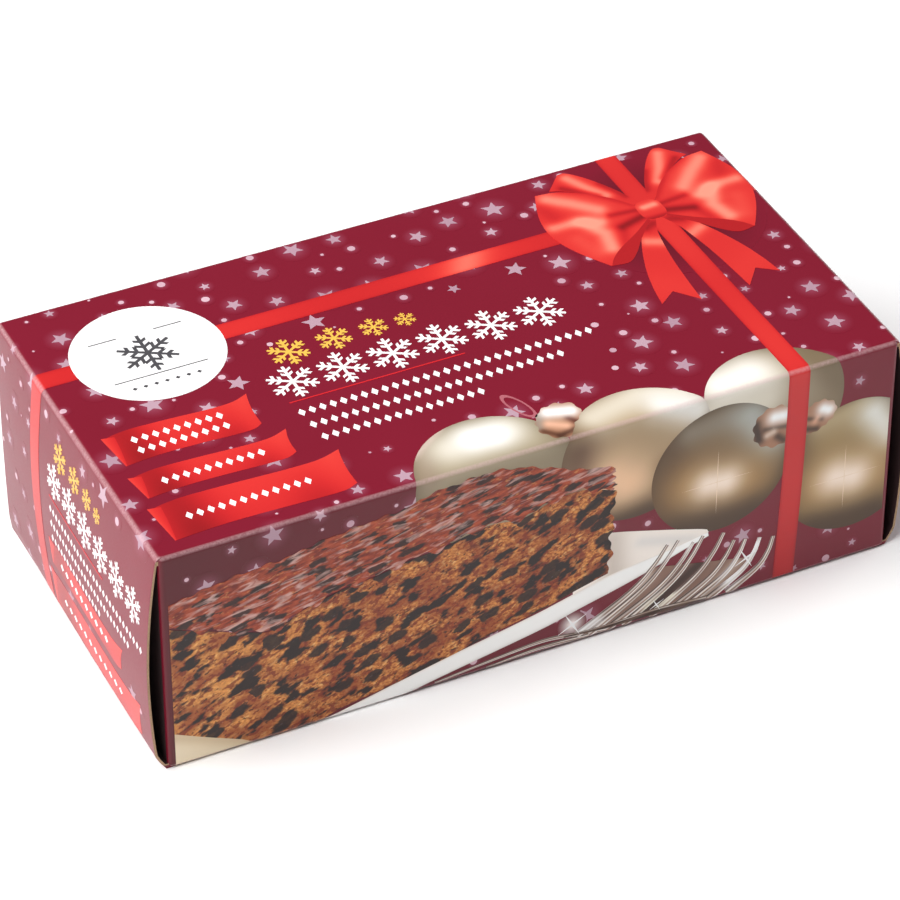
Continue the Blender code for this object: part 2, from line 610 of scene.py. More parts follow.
# %% Laying down a motif
PRINT_LEVELS = [
    "star_haze",
    "dot_haze",
    "stars",
    "shadow cloth banner bauble_1 bauble_2",
    "ribbon fold bauble_3",
    "badge bauble_4 bauble_5",
    "badge_line ornament caps sparks plate",
    "cross_ribbon cake",
    "tails glaze rim",
    "back_loops handles",
    "curls forks",
    "loops neck",
    "knot glints",
]
FIRST_LIFT = 0.016
LIFT_STEP = 0.008
ROOT = 0.05
FOLD_CUTS = 12
FLAP_CUT = 2.0
ACROSS_CUTS = 16


def fold_lines():
    """Where a drawing bends: u on the end creases and the flaps, v on the long creases."""
    arc = [mix(-HALF_ARC, HALF_ARC, i / FOLD_CUTS) for i in range(FOLD_CUTS + 1)]
    across = [crease + a for crease in (-SIDE, 0, TOP, TOP + SIDE) for a in arc]
    along = [side * (HALF + a) for side in (-1, 1) for a in arc]
    down = int((SIDE - HALF_ARC) / FLAP_CUT)
    along += [side * (HALF + HALF_ARC + FLAP_CUT * i) for side in (-1, 1) for i in range(1, down)]
    return along, across


def cut(flat, axis, at, keep=0):
    """Cuts a flat drawing along one line, so that it can bend there.

    keep is 0 for both sides, -1 for the lower side alone and 1 for the upper.
    """
    places = [vert.co[axis] for vert in flat.verts]
    if not min(places) < at < max(places):
        return
    line = {"plane_co": Vector((0, 0, 0)), "plane_no": Vector((0, 0, 0))}
    line["plane_co"][axis] = at
    line["plane_no"][axis] = -keep or 1
    geometry = flat.verts[:] + flat.edges[:] + flat.faces[:]
    bmesh.ops.bisect_plane(flat, geom=geometry, dist=1e-4, clear_outer=keep != 0, **line)


def shapes(*outlines):
    """A flat drawing with one face for each outline, in dieline millimetres."""
    flat = bmesh.new()
    for outline in outlines:
        flat.faces.new([flat.verts.new((*point[:2], 0)) for point in outline])
    return flat


def lay(name, flat, order, *materials):
    """Folds a flat drawing onto the board, gives it its thickness and fits it to the frame."""
    along, across = fold_lines()
    for at in along:
        cut(flat, 0, at)
    for at in across:
        cut(flat, 1, at)
    if max(abs(vert.co.x) for vert in flat.verts) > HALF:
        for i in range(1, ACROSS_CUTS):
            cut(flat, 1, TOP * i / ACROSS_CUTS)
    bmesh.ops.triangulate(flat, faces=flat.faces[:])
    dieline = flat.loops.layers.uv.new("Dieline")
    for face in flat.faces:
        for loop in face.loops:
            loop[dieline].uv = loop.vert.co.xy
    for vert in extruded(flat):
        vert.co.z = -1
    level = next(i for i, names in enumerate(PRINT_LEVELS) if order in names.split())
    lift = FIRST_LIFT + LIFT_STEP * level
    for vert in flat.verts:
        vert.co = wrap(vert.co.x, vert.co.y, -ROOT if vert.co.z < 0 else lift)
    bmesh.ops.recalc_face_normals(flat, faces=flat.faces[:])
    piece = link(flat, name)
    for material in materials:
        piece.data.materials.append(material)
    piece.data.shade_smooth()
    piece.data.set_sharp_from_angle(angle=math.radians(40))
    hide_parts("carton")
    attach(piece, "root")
    print(name + ":", len(piece.data.polygons), "faces")
    return piece


# %% [markdown]
# ## Drawing flat shapes
#
# The motifs of this print are drawn with a few tools: a smooth curve through some points, a
# sheet ruled between two such curves, a strip along one, a round disc, a blob and a soft
# stroke. All but the curve and the stroke are grids, so each of their points can carry a
# tone, and the shader blends between them. A stroke says how near a point is to a line,
# which is how a painter sets a light.


# %% Drawing flat shapes
def curve(points, steps):
    """A smooth line through these points, as steps + 1 evenly spaced places."""
    points = [np.array(point, float) for point in points]
    padded = [2 * points[0] - points[1], *points, 2 * points[-1] - points[-2]]
    dense = []
    for a, b, c, d in zip(padded, padded[1:], padded[2:], padded[3:]):
        for share in np.linspace(0, 1, 16, endpoint=False):
            ends = (2 * b) + (c - a) * share
            bend = (2 * a - 5 * b + 4 * c - d) * share**2 + (3 * b - a - 3 * c + d) * share**3
            dense.append((ends + bend) / 2)
    dense = np.array([*dense, points[-1]])
    length = np.concatenate([[0], np.cumsum(np.linalg.norm(np.diff(dense, axis=0), axis=1))])
    even = np.linspace(0, length[-1], steps + 1)
    return np.stack([np.interp(even, length, dense[:, axis]) for axis in (0, 1)], 1)


def sheet(first, second, rows, columns, bend=None):
    """A flat grid ruled between two curves. bend(t, s) may push its points aside."""
    flat = bmesh.new()
    one, two = curve(first, rows), curve(second, rows)
    grid = []
    for i in range(rows + 1):
        row = []
        for j in range(columns + 1):
            place = mix(one[i], two[i], j / columns)
            if bend:
                place = place + np.array(bend(i / rows, j / columns))
            row.append(flat.verts.new((*place, 0)))
        grid.append(row)
    grid_faces(flat, grid)
    return flat


def shares(rows, columns):
    """How far along and across each point of a sheet lies, from 0 to 1."""
    t, s = np.meshgrid(np.linspace(0, 1, rows + 1), np.linspace(0, 1, columns + 1), indexing="ij")
    return t.ravel(), s.ravel()


def around(centre, radius, angle):
    """The place at this distance and angle from a centre."""
    return centre[0] + radius * math.cos(angle), centre[1] + radius * math.sin(angle)


def disc(centre, radius, rings, spokes):
    """A flat disc with a vertex in its middle and rings round it."""
    flat = bmesh.new()
    middle = flat.verts.new((*centre, 0))
    before = None
    for ring in range(1, rings + 1):
        reach = radius * ring / rings
        angles = [2 * math.pi * spoke / spokes for spoke in range(spokes)]
        now = [flat.verts.new((*around(centre, reach, angle), 0)) for angle in angles]
        for i in range(spokes):
            j = (i + 1) % spokes
            inner = (before[i], now[i], now[j], before[j]) if before else (middle, now[i], now[j])
            flat.faces.new(inner)
        before = now
    return flat


def strip(flat, path, start_width, end_width, rows, columns):
    """Adds a band along a smooth path to a flat drawing."""
    line = curve(path, rows)
    ahead = np.gradient(line, axis=0)
    across = np.stack([-ahead[:, 1], ahead[:, 0]], 1) / np.linalg.norm(ahead, axis=1)[:, None]
    widths = np.linspace(start_width, end_width, rows + 1)
    grid = []
    for middle, aside, width in zip(line, across, widths):
        steps = np.linspace(0.5, -0.5, columns + 1)
        grid.append([flat.verts.new((*(middle + aside * width * step), 0)) for step in steps])
    grid_faces(flat, grid)


def blob(outline, rings, spokes):
    """A flat rounded shape through these points, with rings of vertices inside it."""
    closed = curve([*outline, outline[0]], spokes)[:-1]
    centre = closed.mean(0)
    flat = disc((0, 0), 1, rings, spokes)
    flat.verts.ensure_lookup_table()
    for i, vert in enumerate(flat.verts):
        ring, spoke = divmod(i - 1, spokes)
        place = centre if i == 0 else mix(centre, closed[spoke], (ring + 1) / rings)
        vert.co = (*place, 0)
    return flat


def moved(flat, place):
    """Moves every point of a drawing by a rule."""
    for vert in flat.verts:
        vert.co = (*place(vert.co.x, vert.co.y), 0)
    return flat


def places_of(flat):
    """Where the vertices of a flat drawing lie, one row for each."""
    return np.array([vert.co.xy for vert in flat.verts])


def hump(values, at, width):
    """A soft hump: 1 where a value is just there, fading on both sides."""
    return np.exp(-(((values - at) / width) ** 2))


def near(places, path, width):
    """A soft stroke: 1 on the path, fading to nothing at about twice this width."""
    best = np.full(len(places), 1e9)
    for a, b in zip(path, path[1:] or path):
        a, along = np.array(a, float), np.array(b, float) - np.array(a, float)
        share = np.clip((places - a) @ along / max(along @ along, 1e-9), 0, 1)
        best = np.minimum(best, np.linalg.norm(places - a - share[:, None] * along, axis=1))
    return hump(best, 0, width)


def give_tone(flat, name, values):
    """Stores one number for each vertex, for the material to read."""
    layer = flat.verts.layers.float.new(name)
    for vert, value in zip(flat.verts, values):
        vert[layer] = value


def give_ink(flat, colours):
    """Stores a screen colour for each vertex, turned to linear, for the material to read."""
    layer = flat.verts.layers.float_color.new("Ink")
    for vert, colour in zip(flat.verts, colours):
        vert[layer] = (*(curve_to_linear(c) for c in colour), 1)


def blend(under, ink, share):
    """Paints a colour over others by a share for each vertex."""
    return under + (screen(ink) - under) * np.clip(share, 0, 1)[:, None]


# %% [markdown]
# ## Scattered stars
#
# Five-pointed stars and round snow dots are strewn over the whole sheet, each in a faint
# pink haze. Geometry Nodes suit this: points are scattered over a flat sheet with a least
# distance between them, one shape is set on every point with a random size and turn, and
# the copies are made real. A dot is the same shape with twelve points and hardly a notch. A
# haze is a fan with a number in its middle that the shader fades to the ground ink.

# %% The scattering tree
SHEET = (276.0, 198.0)
HAZE_SPOKES = 18
SCATTER_INPUTS = {
    "Spacing": ("NodeSocketFloat", 10.0),
    "Share kept": ("NodeSocketFloat", 1.0),
    "Smallest": ("NodeSocketFloat", 1.0),
    "Largest": ("NodeSocketFloat", 2.0),
    "Points": ("NodeSocketInt", 5),
    "Notch": ("NodeSocketFloat", 0.45),
    "Haze": ("NodeSocketFloat", 1.8),
    "Only haze": ("NodeSocketBool", False),
    "Seed": ("NodeSocketInt", 1),
}


def strewn_shape(tree, given):
    """The star to scatter or, where only the haze is asked for, a fan that glows in its middle."""
    star = {"Points": given["Points"], "Inner Radius": given["Notch"], "Outer Radius": 1.0}
    star = add(tree, "GeometryNodeCurveStar", star)
    filled = add(tree, "GeometryNodeFillCurve", {"Curve": star.outputs[0]})
    fan = {"Vertices": HAZE_SPOKES, "Radius": given["Haze"]}
    fan = add(tree, "GeometryNodeMeshCircle", fan, fill_type="TRIANGLE_FAN")
    place = add(tree, "GeometryNodeInputPosition").outputs[0]
    reach = vector_maths(tree, "LENGTH", place)["Value"]
    middle = add(tree, "FunctionNodeCompare", {"A": reach, "B": 0.01}, operation="LESS_THAN")
    glow = {"Geometry": fan.outputs["Mesh"], "Name": "glow", "Value": middle.outputs[0]}
    glow = add(tree, "GeometryNodeStoreNamedAttribute", glow)
    shape = {"Switch": given["Only haze"], "False": filled.outputs[0], "True": glow.outputs[0]}
    return add(tree, "GeometryNodeSwitch", shape, input_type="GEOMETRY").outputs[0]


def scatter_tree():
    """Scatters one flat shape, or the haze round it, over a sheet."""
    tree = bpy.data.node_groups.new("scattered print", "GeometryNodeTree")
    for name, (kind, value) in SCATTER_INPUTS.items():
        tree.interface.new_socket(name, in_out="INPUT", socket_type=kind).default_value = value
    tree.interface.new_socket("Geometry", in_out="OUTPUT", socket_type="NodeSocketGeometry")
    given = add(tree, "NodeGroupInput").outputs
    field = {"Size X": SHEET[0], "Size Y": SHEET[1], "Vertices X": 2, "Vertices Y": 2}
    points = {
        "Mesh": add(tree, "GeometryNodeMeshGrid", field).outputs["Mesh"],
        "Distance Min": given["Spacing"],
        "Density Max": 1.0,
        "Density Factor": given["Share kept"],
        "Seed": given["Seed"],
    }
    points = add(
        tree, "GeometryNodeDistributePointsOnFaces", points, distribute_method="POISSON"
    )
    size = {2: given["Smallest"], 3: given["Largest"], "Seed": 11}
    turn = {0: (0, 0, 0), 1: (0, 0, 2 * math.pi), "Seed": 12}
    turn = add(tree, "FunctionNodeRandomValue", turn, data_type="FLOAT_VECTOR").outputs[0]
    copies = {
        "Points": points.outputs["Points"],
        "Instance": strewn_shape(tree, given),
        "Rotation": add(tree, "FunctionNodeEulerToRotation", {0: turn}).outputs[0],
        "Scale": add(tree, "FunctionNodeRandomValue", size, data_type="FLOAT").outputs[1],
    }
    copies = add(tree, "GeometryNodeInstanceOnPoints", copies).outputs[0]
    tone = add(tree, "FunctionNodeRandomValue", {"Seed": 13}, data_type="FLOAT").outputs[1]
    toned = {"Geometry": copies, "Name": "tone", "Value": tone}
    toned = add(tree, "GeometryNodeStoreNamedAttribute", toned, domain="INSTANCE").outputs[0]
    real = add(tree, "GeometryNodeRealizeInstances", {0: toned}).outputs[0]
    inked = add(tree, "GeometryNodeSetMaterial", {"Geometry": real}).outputs[0]
    add(tree, "NodeGroupOutput", {"Geometry": inked})
    return tree


SCATTER = scatter_tree()


def run_tree(tree, values):
    """Runs a geometry tree on an empty mesh and gives its result as a flat drawing."""
    holder = in_scene("holder", bpy.data.meshes.new("holder"))
    modifier = holder.modifiers.new("tree", "NODES")
    modifier.node_group = tree
    for item in tree.interface.items_tree:
        if item.in_out == "INPUT" and item.name in values:
            modifier[item.identifier] = values[item.name]
    flat = bmesh.new()
    flat.from_mesh(evaluated(holder))
    bpy.data.objects.remove(holder, do_unlink=True)
    return flat


# %% Where stars and dots may lie
PRINTED = 82.2
EDGE = 0.3
FLAP_EDGE = 0.9
FLAP_FOOT = 1.5
QUIET = ((-43, 27, 18, 55), (-121, -91, 3, 58))
CLEARANCE = 3.6


def on_sheet(u, v):
    """True on the top, front and back panels and on the end flaps, clear of the ornaments."""
    if any(left < u < right and low < v < high for left, right, low, high in QUIET):
        return False
    if abs(u) < PRINTED:
        return EDGE - SIDE < v < TOP + SIDE - EDGE
    return abs(u) < HALF + SIDE - FLAP_FOOT and FLAP_EDGE < v < TOP - FLAP_EDGE


def keep_on_sheet(flat, across, clear_of):
    """Shifts the shapes into place and drops those that leave the sheet or touch others."""
    bmesh.ops.translate(flat, verts=flat.verts[:], vec=(0, across, 0))
    seen, dropped, kept = set(), [], []
    for start in flat.verts[:]:
        if start in seen:
            continue
        island, todo = [], [start]
        seen.add(start)
        while todo:
            vert = todo.pop()
            island.append(vert)
            for edge in vert.link_edges:
                other = edge.other_vert(vert)
                if other not in seen:
                    seen.add(other)
                    todo.append(other)
        middle = np.mean([vert.co.xy for vert in island], 0)
        touches = any(np.linalg.norm(middle - other) < CLEARANCE for other in clear_of)
        if touches or not all(on_sheet(*vert.co.xy) for vert in island):
            dropped += island
        else:
            kept.append(middle)
    bmesh.ops.delete(flat, geom=dropped, context="VERTS")
    return flat, kept


# %% Stars and dots
star_ink = strewn_ink("mauve star ink under satin varnish", "ad8998", "c2a1ae")
dot_ink = strewn_ink("pale snow ink under satin varnish", "c096a5", "d8b5c0")
haze_ink = fading_ink("burgundy ink fading into a pink haze", "b0647e", falloff=1.6, most=0.55)

STARS = {"Spacing": 8.6, "Share kept": 1.0, "Smallest": 0.9, "Largest": 2.8, "Seed": 4}
DOTS = {"Spacing": 6.0, "Share kept": 0.8, "Smallest": 0.25, "Largest": 0.95, "Points": 12}
DOTS |= {"Notch": 0.97, "Seed": 9, "Haze": 2.4}
star_places = []
for name, order, values, ink in (
    ("stars", "stars", STARS, star_ink),
    ("star_haze", "star_haze", STARS | {"Only haze": True}, haze_ink),
    ("snow_dots", "stars", DOTS, dot_ink),
    ("dot_haze", "dot_haze", DOTS | {"Only haze": True}, haze_ink),
):
    avoided = [] if values["Seed"] == STARS["Seed"] else star_places
    strewn, places = keep_on_sheet(run_tree(SCATTER, values), TOP / 2, avoided)
    star_places = star_places or places
    lay(name, strewn, order, ink)

# %% [markdown]
# ## Satin ribbon, as printed
#
# The gift ribbon, the bow and the banners are pictures of red satin. Satin shows its light
# in broad bands that follow the folds, from a deep red to a pale pinkish orange. So each of
# these pieces carries one number at every point, its sheen, and one ramp turns that into
# ink. The ribbon's own weave is too fine to be seen at this printed size.

# %% Satin inks
satin_ink, tree = new_material("red satin ribbon print under satin varnish")
sheen = carried(tree, "sheen")
ramp = add(tree, "ShaderNodeValToRGB", {0: sheen})
ramp.color_ramp.interpolation = "B_SPLINE"
SATIN = ((0.0, "650a10"), (0.25, "a1161d"), (0.5, "d32326"), (0.75, "e8483c"), (1.0, "f5a088"))
while len(ramp.color_ramp.elements) < len(SATIN):
    ramp.color_ramp.elements.new(0.5)
for stop, (at, ink) in zip(ramp.color_ramp.elements, SATIN):
    stop.position = at
    stop.color = linear(ink)
varnish(tree, ramp.outputs[0])

# %% The two ribbons
RIBBON_WIDTH = 5.3
CROSS_WIDTH = RIBBON_WIDTH - 0.3
RIBBON_GRID = (240, 8)
LONG_RIBBON = [(-138.3, 56.2), (-122, 59.2), (-104, 61.2), (-84, 61.6)]
LONG_RIBBON += [(-30, 61.5), (40, 62), (138.3, 62)]
CROSS_RIBBON = [(57.2, TOP + SIDE - 0.6), (56.9, TOP), (57.1, 40), (57.6, 0)]
CROSS_RIBBON += [(57.2, -28), (56.2, -SIDE + 0.6)]

s = shares(*RIBBON_GRID)[1]
edge = (2 * abs(s - 0.5)) ** 6

ribbon = sheet(LONG_RIBBON, [(u, v + RIBBON_WIDTH) for u, v in LONG_RIBBON], *RIBBON_GRID)
u = places_of(ribbon)[:, 0]
sheen = 0.47 + 0.04 * np.sin(u / 9) + 0.30 * hump(u, 13 + 3 * s, 6) - 0.10 * edge
give_tone(ribbon, "sheen", sheen)
lay("long_ribbon", ribbon, "ribbon", satin_ink)

ribbon = sheet(CROSS_RIBBON, [(u + CROSS_WIDTH, v) for u, v in CROSS_RIBBON], *RIBBON_GRID)
v = places_of(ribbon)[:, 1]
sheen = 0.52 + 0.03 * np.sin(v / 7) - 0.16 * np.clip(-v / SIDE, 0, 1) - 0.12 * edge
give_tone(ribbon, "sheen", sheen)
lay("cross_ribbon", ribbon, "cross_ribbon", satin_ink)

# %% [markdown]
# ## The bow
#
# A classic gift bow: two large loops that open towards the front, two smaller ones behind,
# two swallow-tailed ends and a round knot. The two sides mirror each other, so each part is
# drawn once, as a sheet between two curves from the knot outwards. Its light is a handful
# of strokes: pale bands where the satin turns over, dark pleats that gather at the knot.

# %% The bow
KNOT = (59.4, 65.3)
LOOP_TOP = [(2.4, 2.6), (6, 7.6), (10.5, 11.6), (15.6, 14.6), (20.6, 15.4)]
LOOP_BOTTOM = [(2.4, -3.0), (7, -6.6), (12.5, -10.2), (15.5, -12.8), (17.4, -15.4)]
CURL_EDGE = [(2.0, -3.6), (6.6, -8.6), (10.2, -13.2), (13.4, -15.8), (17.4, -15.4)]
BACK_TOP = [(1.2, 3.4), (3.4, 9.6), (7.2, 16.4), (10.6, 20.4), (12.6, 20.6)]
BACK_BOTTOM = [(2.6, 3.0), (6.4, 7.8), (10.5, 11.5), (14.6, 14.6), (17.0, 15.6)]
TAIL_OUTER = [(3.4, -3.2), (7.6, -10.2), (11.2, -19.0), (13.2, -26.4), (14.2, -32.4)]
TAIL_INNER = [(0.7, -3.6), (2.7, -8.6), (4.3, -17.4), (5.2, -26.0), (5.8, -34.4)]

LOOP_LIGHTS = [
    ([(19.0, 13.0), (15.0, 9.6), (10.5, 4.8)], 2.4, 0.36),
    ([(22.5, 2.6), (16.5, 2.6), (12.0, 0.4)], 1.8, 0.34),
    ([(15.5, 1.4), (13.2, -4.0), (14.2, -9.5)], 2.2, 0.38),
    ([(21.5, 10.5), (20.5, 6.0)], 2.2, -0.12),
    ([(2.6, -1.6), (8.8, -3.4)], 1.3, -0.42),
    ([(3.0, 1.0), (9.0, 1.6)], 0.9, -0.26),
    ([(9.5, -5.4), (12.0, -12.0)], 1.3, -0.14),
    ([(19.5, -3.5), (18.0, -10.0)], 2.4, 0.10),
    ([(3.0, 3.4), (9.5, 11.4), (15.0, 14.8)], 0.9, -0.16),
]
BACK_LIGHTS = [
    ([(11.4, 18.6), (9.0, 13.4), (6.4, 9.0)], 1.8, 0.38),
    ([(5.6, 13.6), (2.6, 7.0)], 1.0, -0.22),
    ([(14.0, 15.4), (8.0, 9.6)], 1.0, -0.25),
]
TAIL_LIGHTS = [
    ([(6.4, -10.6), (2.4, -12.6)], 1.9, 0.34),
    ([(2.0, -5.0), (4.4, -6.0)], 1.4, -0.28),
    ([(11.5, -26.0), (6.0, -30.0)], 5.0, 0.04),
]
BOW_GRID = (44, 34)


def satin_part(name, order, side, top, bottom, lights, tone, bend):
    """One part of the bow, right as drawn or mirrored to the left, with its light."""
    part = sheet(top, bottom, *BOW_GRID, bend)
    places = places_of(part)
    sheen = np.full(len(places), tone)
    for path, width, strength in lights:
        sheen += strength * near(places, path, width)
    give_tone(part, "sheen", sheen)
    moved(part, lambda x, y: (KNOT[0] + side * x, KNOT[1] + y))
    return lay(name, part, order, satin_ink)


def loop_bend(t, s):
    """The loop's outer end bulges away from the knot."""
    return 5.2 * t**4 * math.sin(math.pi * s), 0


def tail_bend(t, s):
    """The end of the tail is cut in a swallowtail."""
    return 0, 4.2 * max(t - 0.75, 0) * 4 * (1 - abs(2 * s - 1))


shade_ink = fading_ink("burgundy ink with a printed drop shadow", "3a0610")

SHADOW_AT, SHADOW_REACH = (61.0, 62.5), 22.5
shadow = disc((0, 0), 1, rings=14, spokes=64)
out = np.linalg.norm(places_of(shadow), axis=1)
give_tone(shadow, "glow", 0.75 * np.clip(1.25 - 1.25 * out, 0, 1))
moved(shadow, lambda x, y: (SHADOW_AT[0] + SHADOW_REACH * x, SHADOW_AT[1] + SHADOW_REACH * y))
lay("bow_shadow", shadow, "shadow", shade_ink)

BOW_PARTS = (
    ("bow_tail_", "tails", TAIL_OUTER, TAIL_INNER, TAIL_LIGHTS, 0.52, tail_bend),
    ("bow_back_", "back_loops", BACK_TOP, BACK_BOTTOM, BACK_LIGHTS, 0.50, None),
    ("bow_curl_", "curls", LOOP_BOTTOM, CURL_EDGE, [], 0.30, None),
    ("bow_loop_", "loops", LOOP_TOP, LOOP_BOTTOM, LOOP_LIGHTS, 0.55, loop_bend),
)
for side, hand in ((-1, "left"), (1, "right")):
    for name, order, *drawn in BOW_PARTS:
        satin_part(name + hand, order, side, *drawn)

# %% The knot
KNOT_SIZE = (3.0, 3.6)
SQUARENESS = 3


def rounded_square(x, y):
    """Swells a disc of radius 1 into the knot's cushion shape."""
    square = (abs(x) ** SQUARENESS + abs(y) ** SQUARENESS) ** (1 / SQUARENESS)
    scale = math.hypot(x, y) / square if square > 0 else 1
    return x * scale * KNOT_SIZE[0], y * scale * KNOT_SIZE[1]


knot = moved(disc((0, 0), 1, rings=12, spokes=40), rounded_square)
places = places_of(knot)
sheen = 0.55 + 0.38 * near(places, [(-1.2, 1.2), (1.4, 1.4)], 1.2)
sheen -= 0.30 * near(places, [(-2.4, -3.4), (2.4, -3.4)], 1.0)
give_tone(knot, "sheen", sheen)
bmesh.ops.translate(knot, verts=knot.verts[:], vec=(*KNOT, 0))
lay("bow_knot", knot, "knot", satin_ink)

# %% [markdown]
# ## Badge and banners
#
# The badge is a white disc with a snow crystal between thin grey rules and a row of dots
# below. The three banners are satin strips that wave a little, each with its left end
# folded over. They follow one rule, so one function draws them all.

# %% Badge
BADGE = (-59.6, 64.0)
BADGE_RADIUS = 16.6
RULES = ((-10.5, -4.2, 7.2), (4.2, 10.5, 7.2), (-10.5, 10.5, -7.6))
RULE_WIDTH = 0.32
BADGE_CRYSTAL = (6.6, 0.8)
BADGE_BARBS = ((0.30, 0.24), (0.60, 0.18))
BADGE_DOTS = [(BADGE[0] + 2.4 * i, BADGE[1] - 10.6) for i in range(-3, 4)]
BADGE_DOT = (0.55, 0.4)

white_ink = drifting_ink(
    "bare coated board white under satin varnish", "f6f4f3", "fbfafa", MOTTLE_SIZE
)
grey_ink = drifting_ink("charcoal line ink under satin varnish", "3f3d40", "565458", FIBRE_SIZE)
gold_ink = drifting_ink("warm yellow line ink under satin varnish", "e5b243", "edc35c", COCKLE_SIZE)
red_ink = drifting_ink("bright red line ink under satin varnish", "c81f28", "d62a30", COCKLE_SIZE)


def spark(centre, reach, waist, turn):
    """The outline of a star of four thin rays."""
    return [around(centre, waist if i % 2 else reach, turn + math.pi * i / 4) for i in range(8)]


def snowflake(centre, radius, stroke, barbs):
    """The outline of a six-armed snow crystal, with pairs of barbs on each arm."""
    half = stroke / radius / 2
    arm = [(half / math.tan(math.pi / 6), half)]
    for base, reach in barbs:
        dx, dy = reach / 2, reach * math.sin(math.pi / 3)
        slant = 2 * half / math.sin(math.pi / 3)
        arm += [(base, half), (base + dx, half + dy)]
        arm += [(base + dx + slant, half + dy), (base + slant, half)]
    arm.append((1, half))
    arm += [(x, -y) for x, y in reversed(arm[1:])]
    outline = []
    for i in range(6):
        angle = math.pi / 6 - i * math.pi / 3
        cosine, sine = math.cos(angle), math.sin(angle)
        for x, y in arm:
            u = centre[0] + radius * (x * cosine - y * sine)
            outline.append((u, centre[1] + radius * (x * sine + y * cosine)))
    return outline


def box(left, right, bottom, top):
    """The outline of an upright rectangle."""
    return [(left, bottom), (right, bottom), (right, top), (left, top)]


lay("badge", disc(BADGE, BADGE_RADIUS, rings=6, spokes=96), "badge", white_ink)
rules = shapes(*(box(left, right, up, up + RULE_WIDTH) for left, right, up in RULES))
moved(rules, lambda x, y: (BADGE[0] + x, BADGE[1] + y))
lay("badge_rules", rules, "badge_line", grey_ink)
lay("badge_crystal", shapes(snowflake(BADGE, *BADGE_CRYSTAL, BADGE_BARBS)), "badge_line", grey_ink)
dots = shapes(*(spark(centre, *BADGE_DOT, 0) for centre in BADGE_DOTS))
lay("badge_dots", dots, "badge_line", grey_ink)

# %% Banners
BANNERS = ((-79.3, -46.8, 30.6, 41.0), (-79.3, -44.2, 18.9, 26.6), (-79.6, -37.4, 4.2, 15.7))
END_SCALE = 0.77
BLOCK = (-42, 41.5)
BLOCK_ON_END = (56.5, 16.8)
END_FOOT = 53.6
END_BANNER = (55.5, 5)
BANNER_LEFT, BANNER_SPAN = -79, 42


def as_drawn(x, y):
    """Leaves a drawing where it is."""
    return x, y


def on_left_end(x, y):
    """Where the top panel's ornaments lie on the left end flap: smaller and turned."""
    down = BLOCK_ON_END[1] - (y - BLOCK[1]) * END_SCALE
    return -HALF - down, BLOCK_ON_END[0] - (x - BLOCK[0]) * END_SCALE


def banner_on_end(x, y):
    """The left end's banners stand at its foot, one under the other."""
    along = (x - BANNER_LEFT) / BANNER_SPAN
    return -HALF - END_FOOT + y * END_SCALE, mix(*END_BANNER, along)


UPPER_WAVE = ((0, -0.9), (0.07, -0.1), (0.2, 0.4), (0.45, 0.1), (0.7, -0.4), (0.88, -0.3), (1, 1.1))
LOWER_WAVE = ((0, -0.4), (0.12, 0.0), (0.3, 0.3), (0.55, 0.1), (0.8, -0.3), (0.93, -0.2), (1, 0.9))
BANNER_GRID = (48, 12)
FOLD_GRID = (16, 4)


def banner_edges(left, right, bottom, top):
    """The upper and lower edge of a waving banner whose right end flies up to a point."""
    upper = [(mix(left, right, t), top + rise) for t, rise in UPPER_WAVE]
    lower = [(mix(left + 1.3, right - 1.1, t), bottom + rise) for t, rise in LOWER_WAVE]
    return upper, lower


def hollow_end(t, s):
    """The banner's right end is slightly hollow."""
    return -0.45 * t**6 * math.sin(math.pi * s), 0


def draw_banner(name, place, left, right, bottom, top):
    """A banner's body and, brighter, the end that is folded over it."""
    upper, lower = banner_edges(left, right, bottom, top)
    body = sheet(upper, lower, *BANNER_GRID, hollow_end)
    t, s = shares(*BANNER_GRID)
    sheen = 0.50 - 0.30 * hump(t, 0.13, 0.16) + 0.06 * hump(t, 0.95, 0.1)
    sheen += 0.05 * np.cos(2.2 * s) - 0.14 * hump(t, 0.78, 0.14) * s
    give_tone(body, "sheen", sheen)
    lay(name, moved(body, place), "banner", satin_ink)
    middle = mix(bottom, top, 0.5)
    outer = [(left - 0.3, top - 0.3), (left + 0.3, middle), (left + 1.0, bottom - 0.4)]
    inner = [(left + 2.5, top - 0.8), (left + 2.1, middle), (left + 1.3, bottom - 0.4)]
    fold = sheet(outer, inner, *FOLD_GRID)
    give_tone(fold, "sheen", 0.62 - 0.2 * shares(*FOLD_GRID)[1])
    lay(name + "_fold", moved(fold, place), "fold", satin_ink)


for number, edges in enumerate(BANNERS, 1):
    draw_banner(f"banner_{number}", as_drawn, *edges)
for number, edges in enumerate(BANNERS[1:], 1):
    draw_banner(f"end_banner_{number}", banner_on_end, *edges)

# %% [markdown]
# ## Rows of ornament
#
# The middle of the top panel carries its brightest ornament: a row of white snow crystals,
# a smaller one in yellow above it, a thin red rule and three rows of small diamonds. The
# left end repeats the block, smaller and turned, as such packs do.

# %% Rows of ornament
CRYSTALS = [(-36.4 + 11.4 * i, 41.8) for i in range(6)]
YELLOW_CRYSTALS = [(-33, 51.6, 4.6), (-22.5, 51.9, 4.0), (-13.4, 51.9, 3.2), (-6.2, 51.6, 2.4)]
CRYSTAL = (5.6, 0.64)
YELLOW_STROKE = 0.13
BARBS = ((0.40, 0.20), (0.66, 0.22))
RULE = (-40, 0, 35.1, 35.45)
DIAMOND_ROWS = ((31.3, -39, 29), (26.6, -38.5, 20), (21.9, -38, -2))
DIAMOND = (0.80, 1.25)
DIAMOND_STEP = 2.35
BANNER_ROWS = ((37.6, -73.5, -52.5), (33.9, -73.5, -52.5), (22.6, -73, -50), (10.0, -73, -45))


def diamond(u, v):
    """The outline of one small diamond."""
    return [(u + DIAMOND[0], v), (u, v + DIAMOND[1]), (u - DIAMOND[0], v), (u, v - DIAMOND[1])]


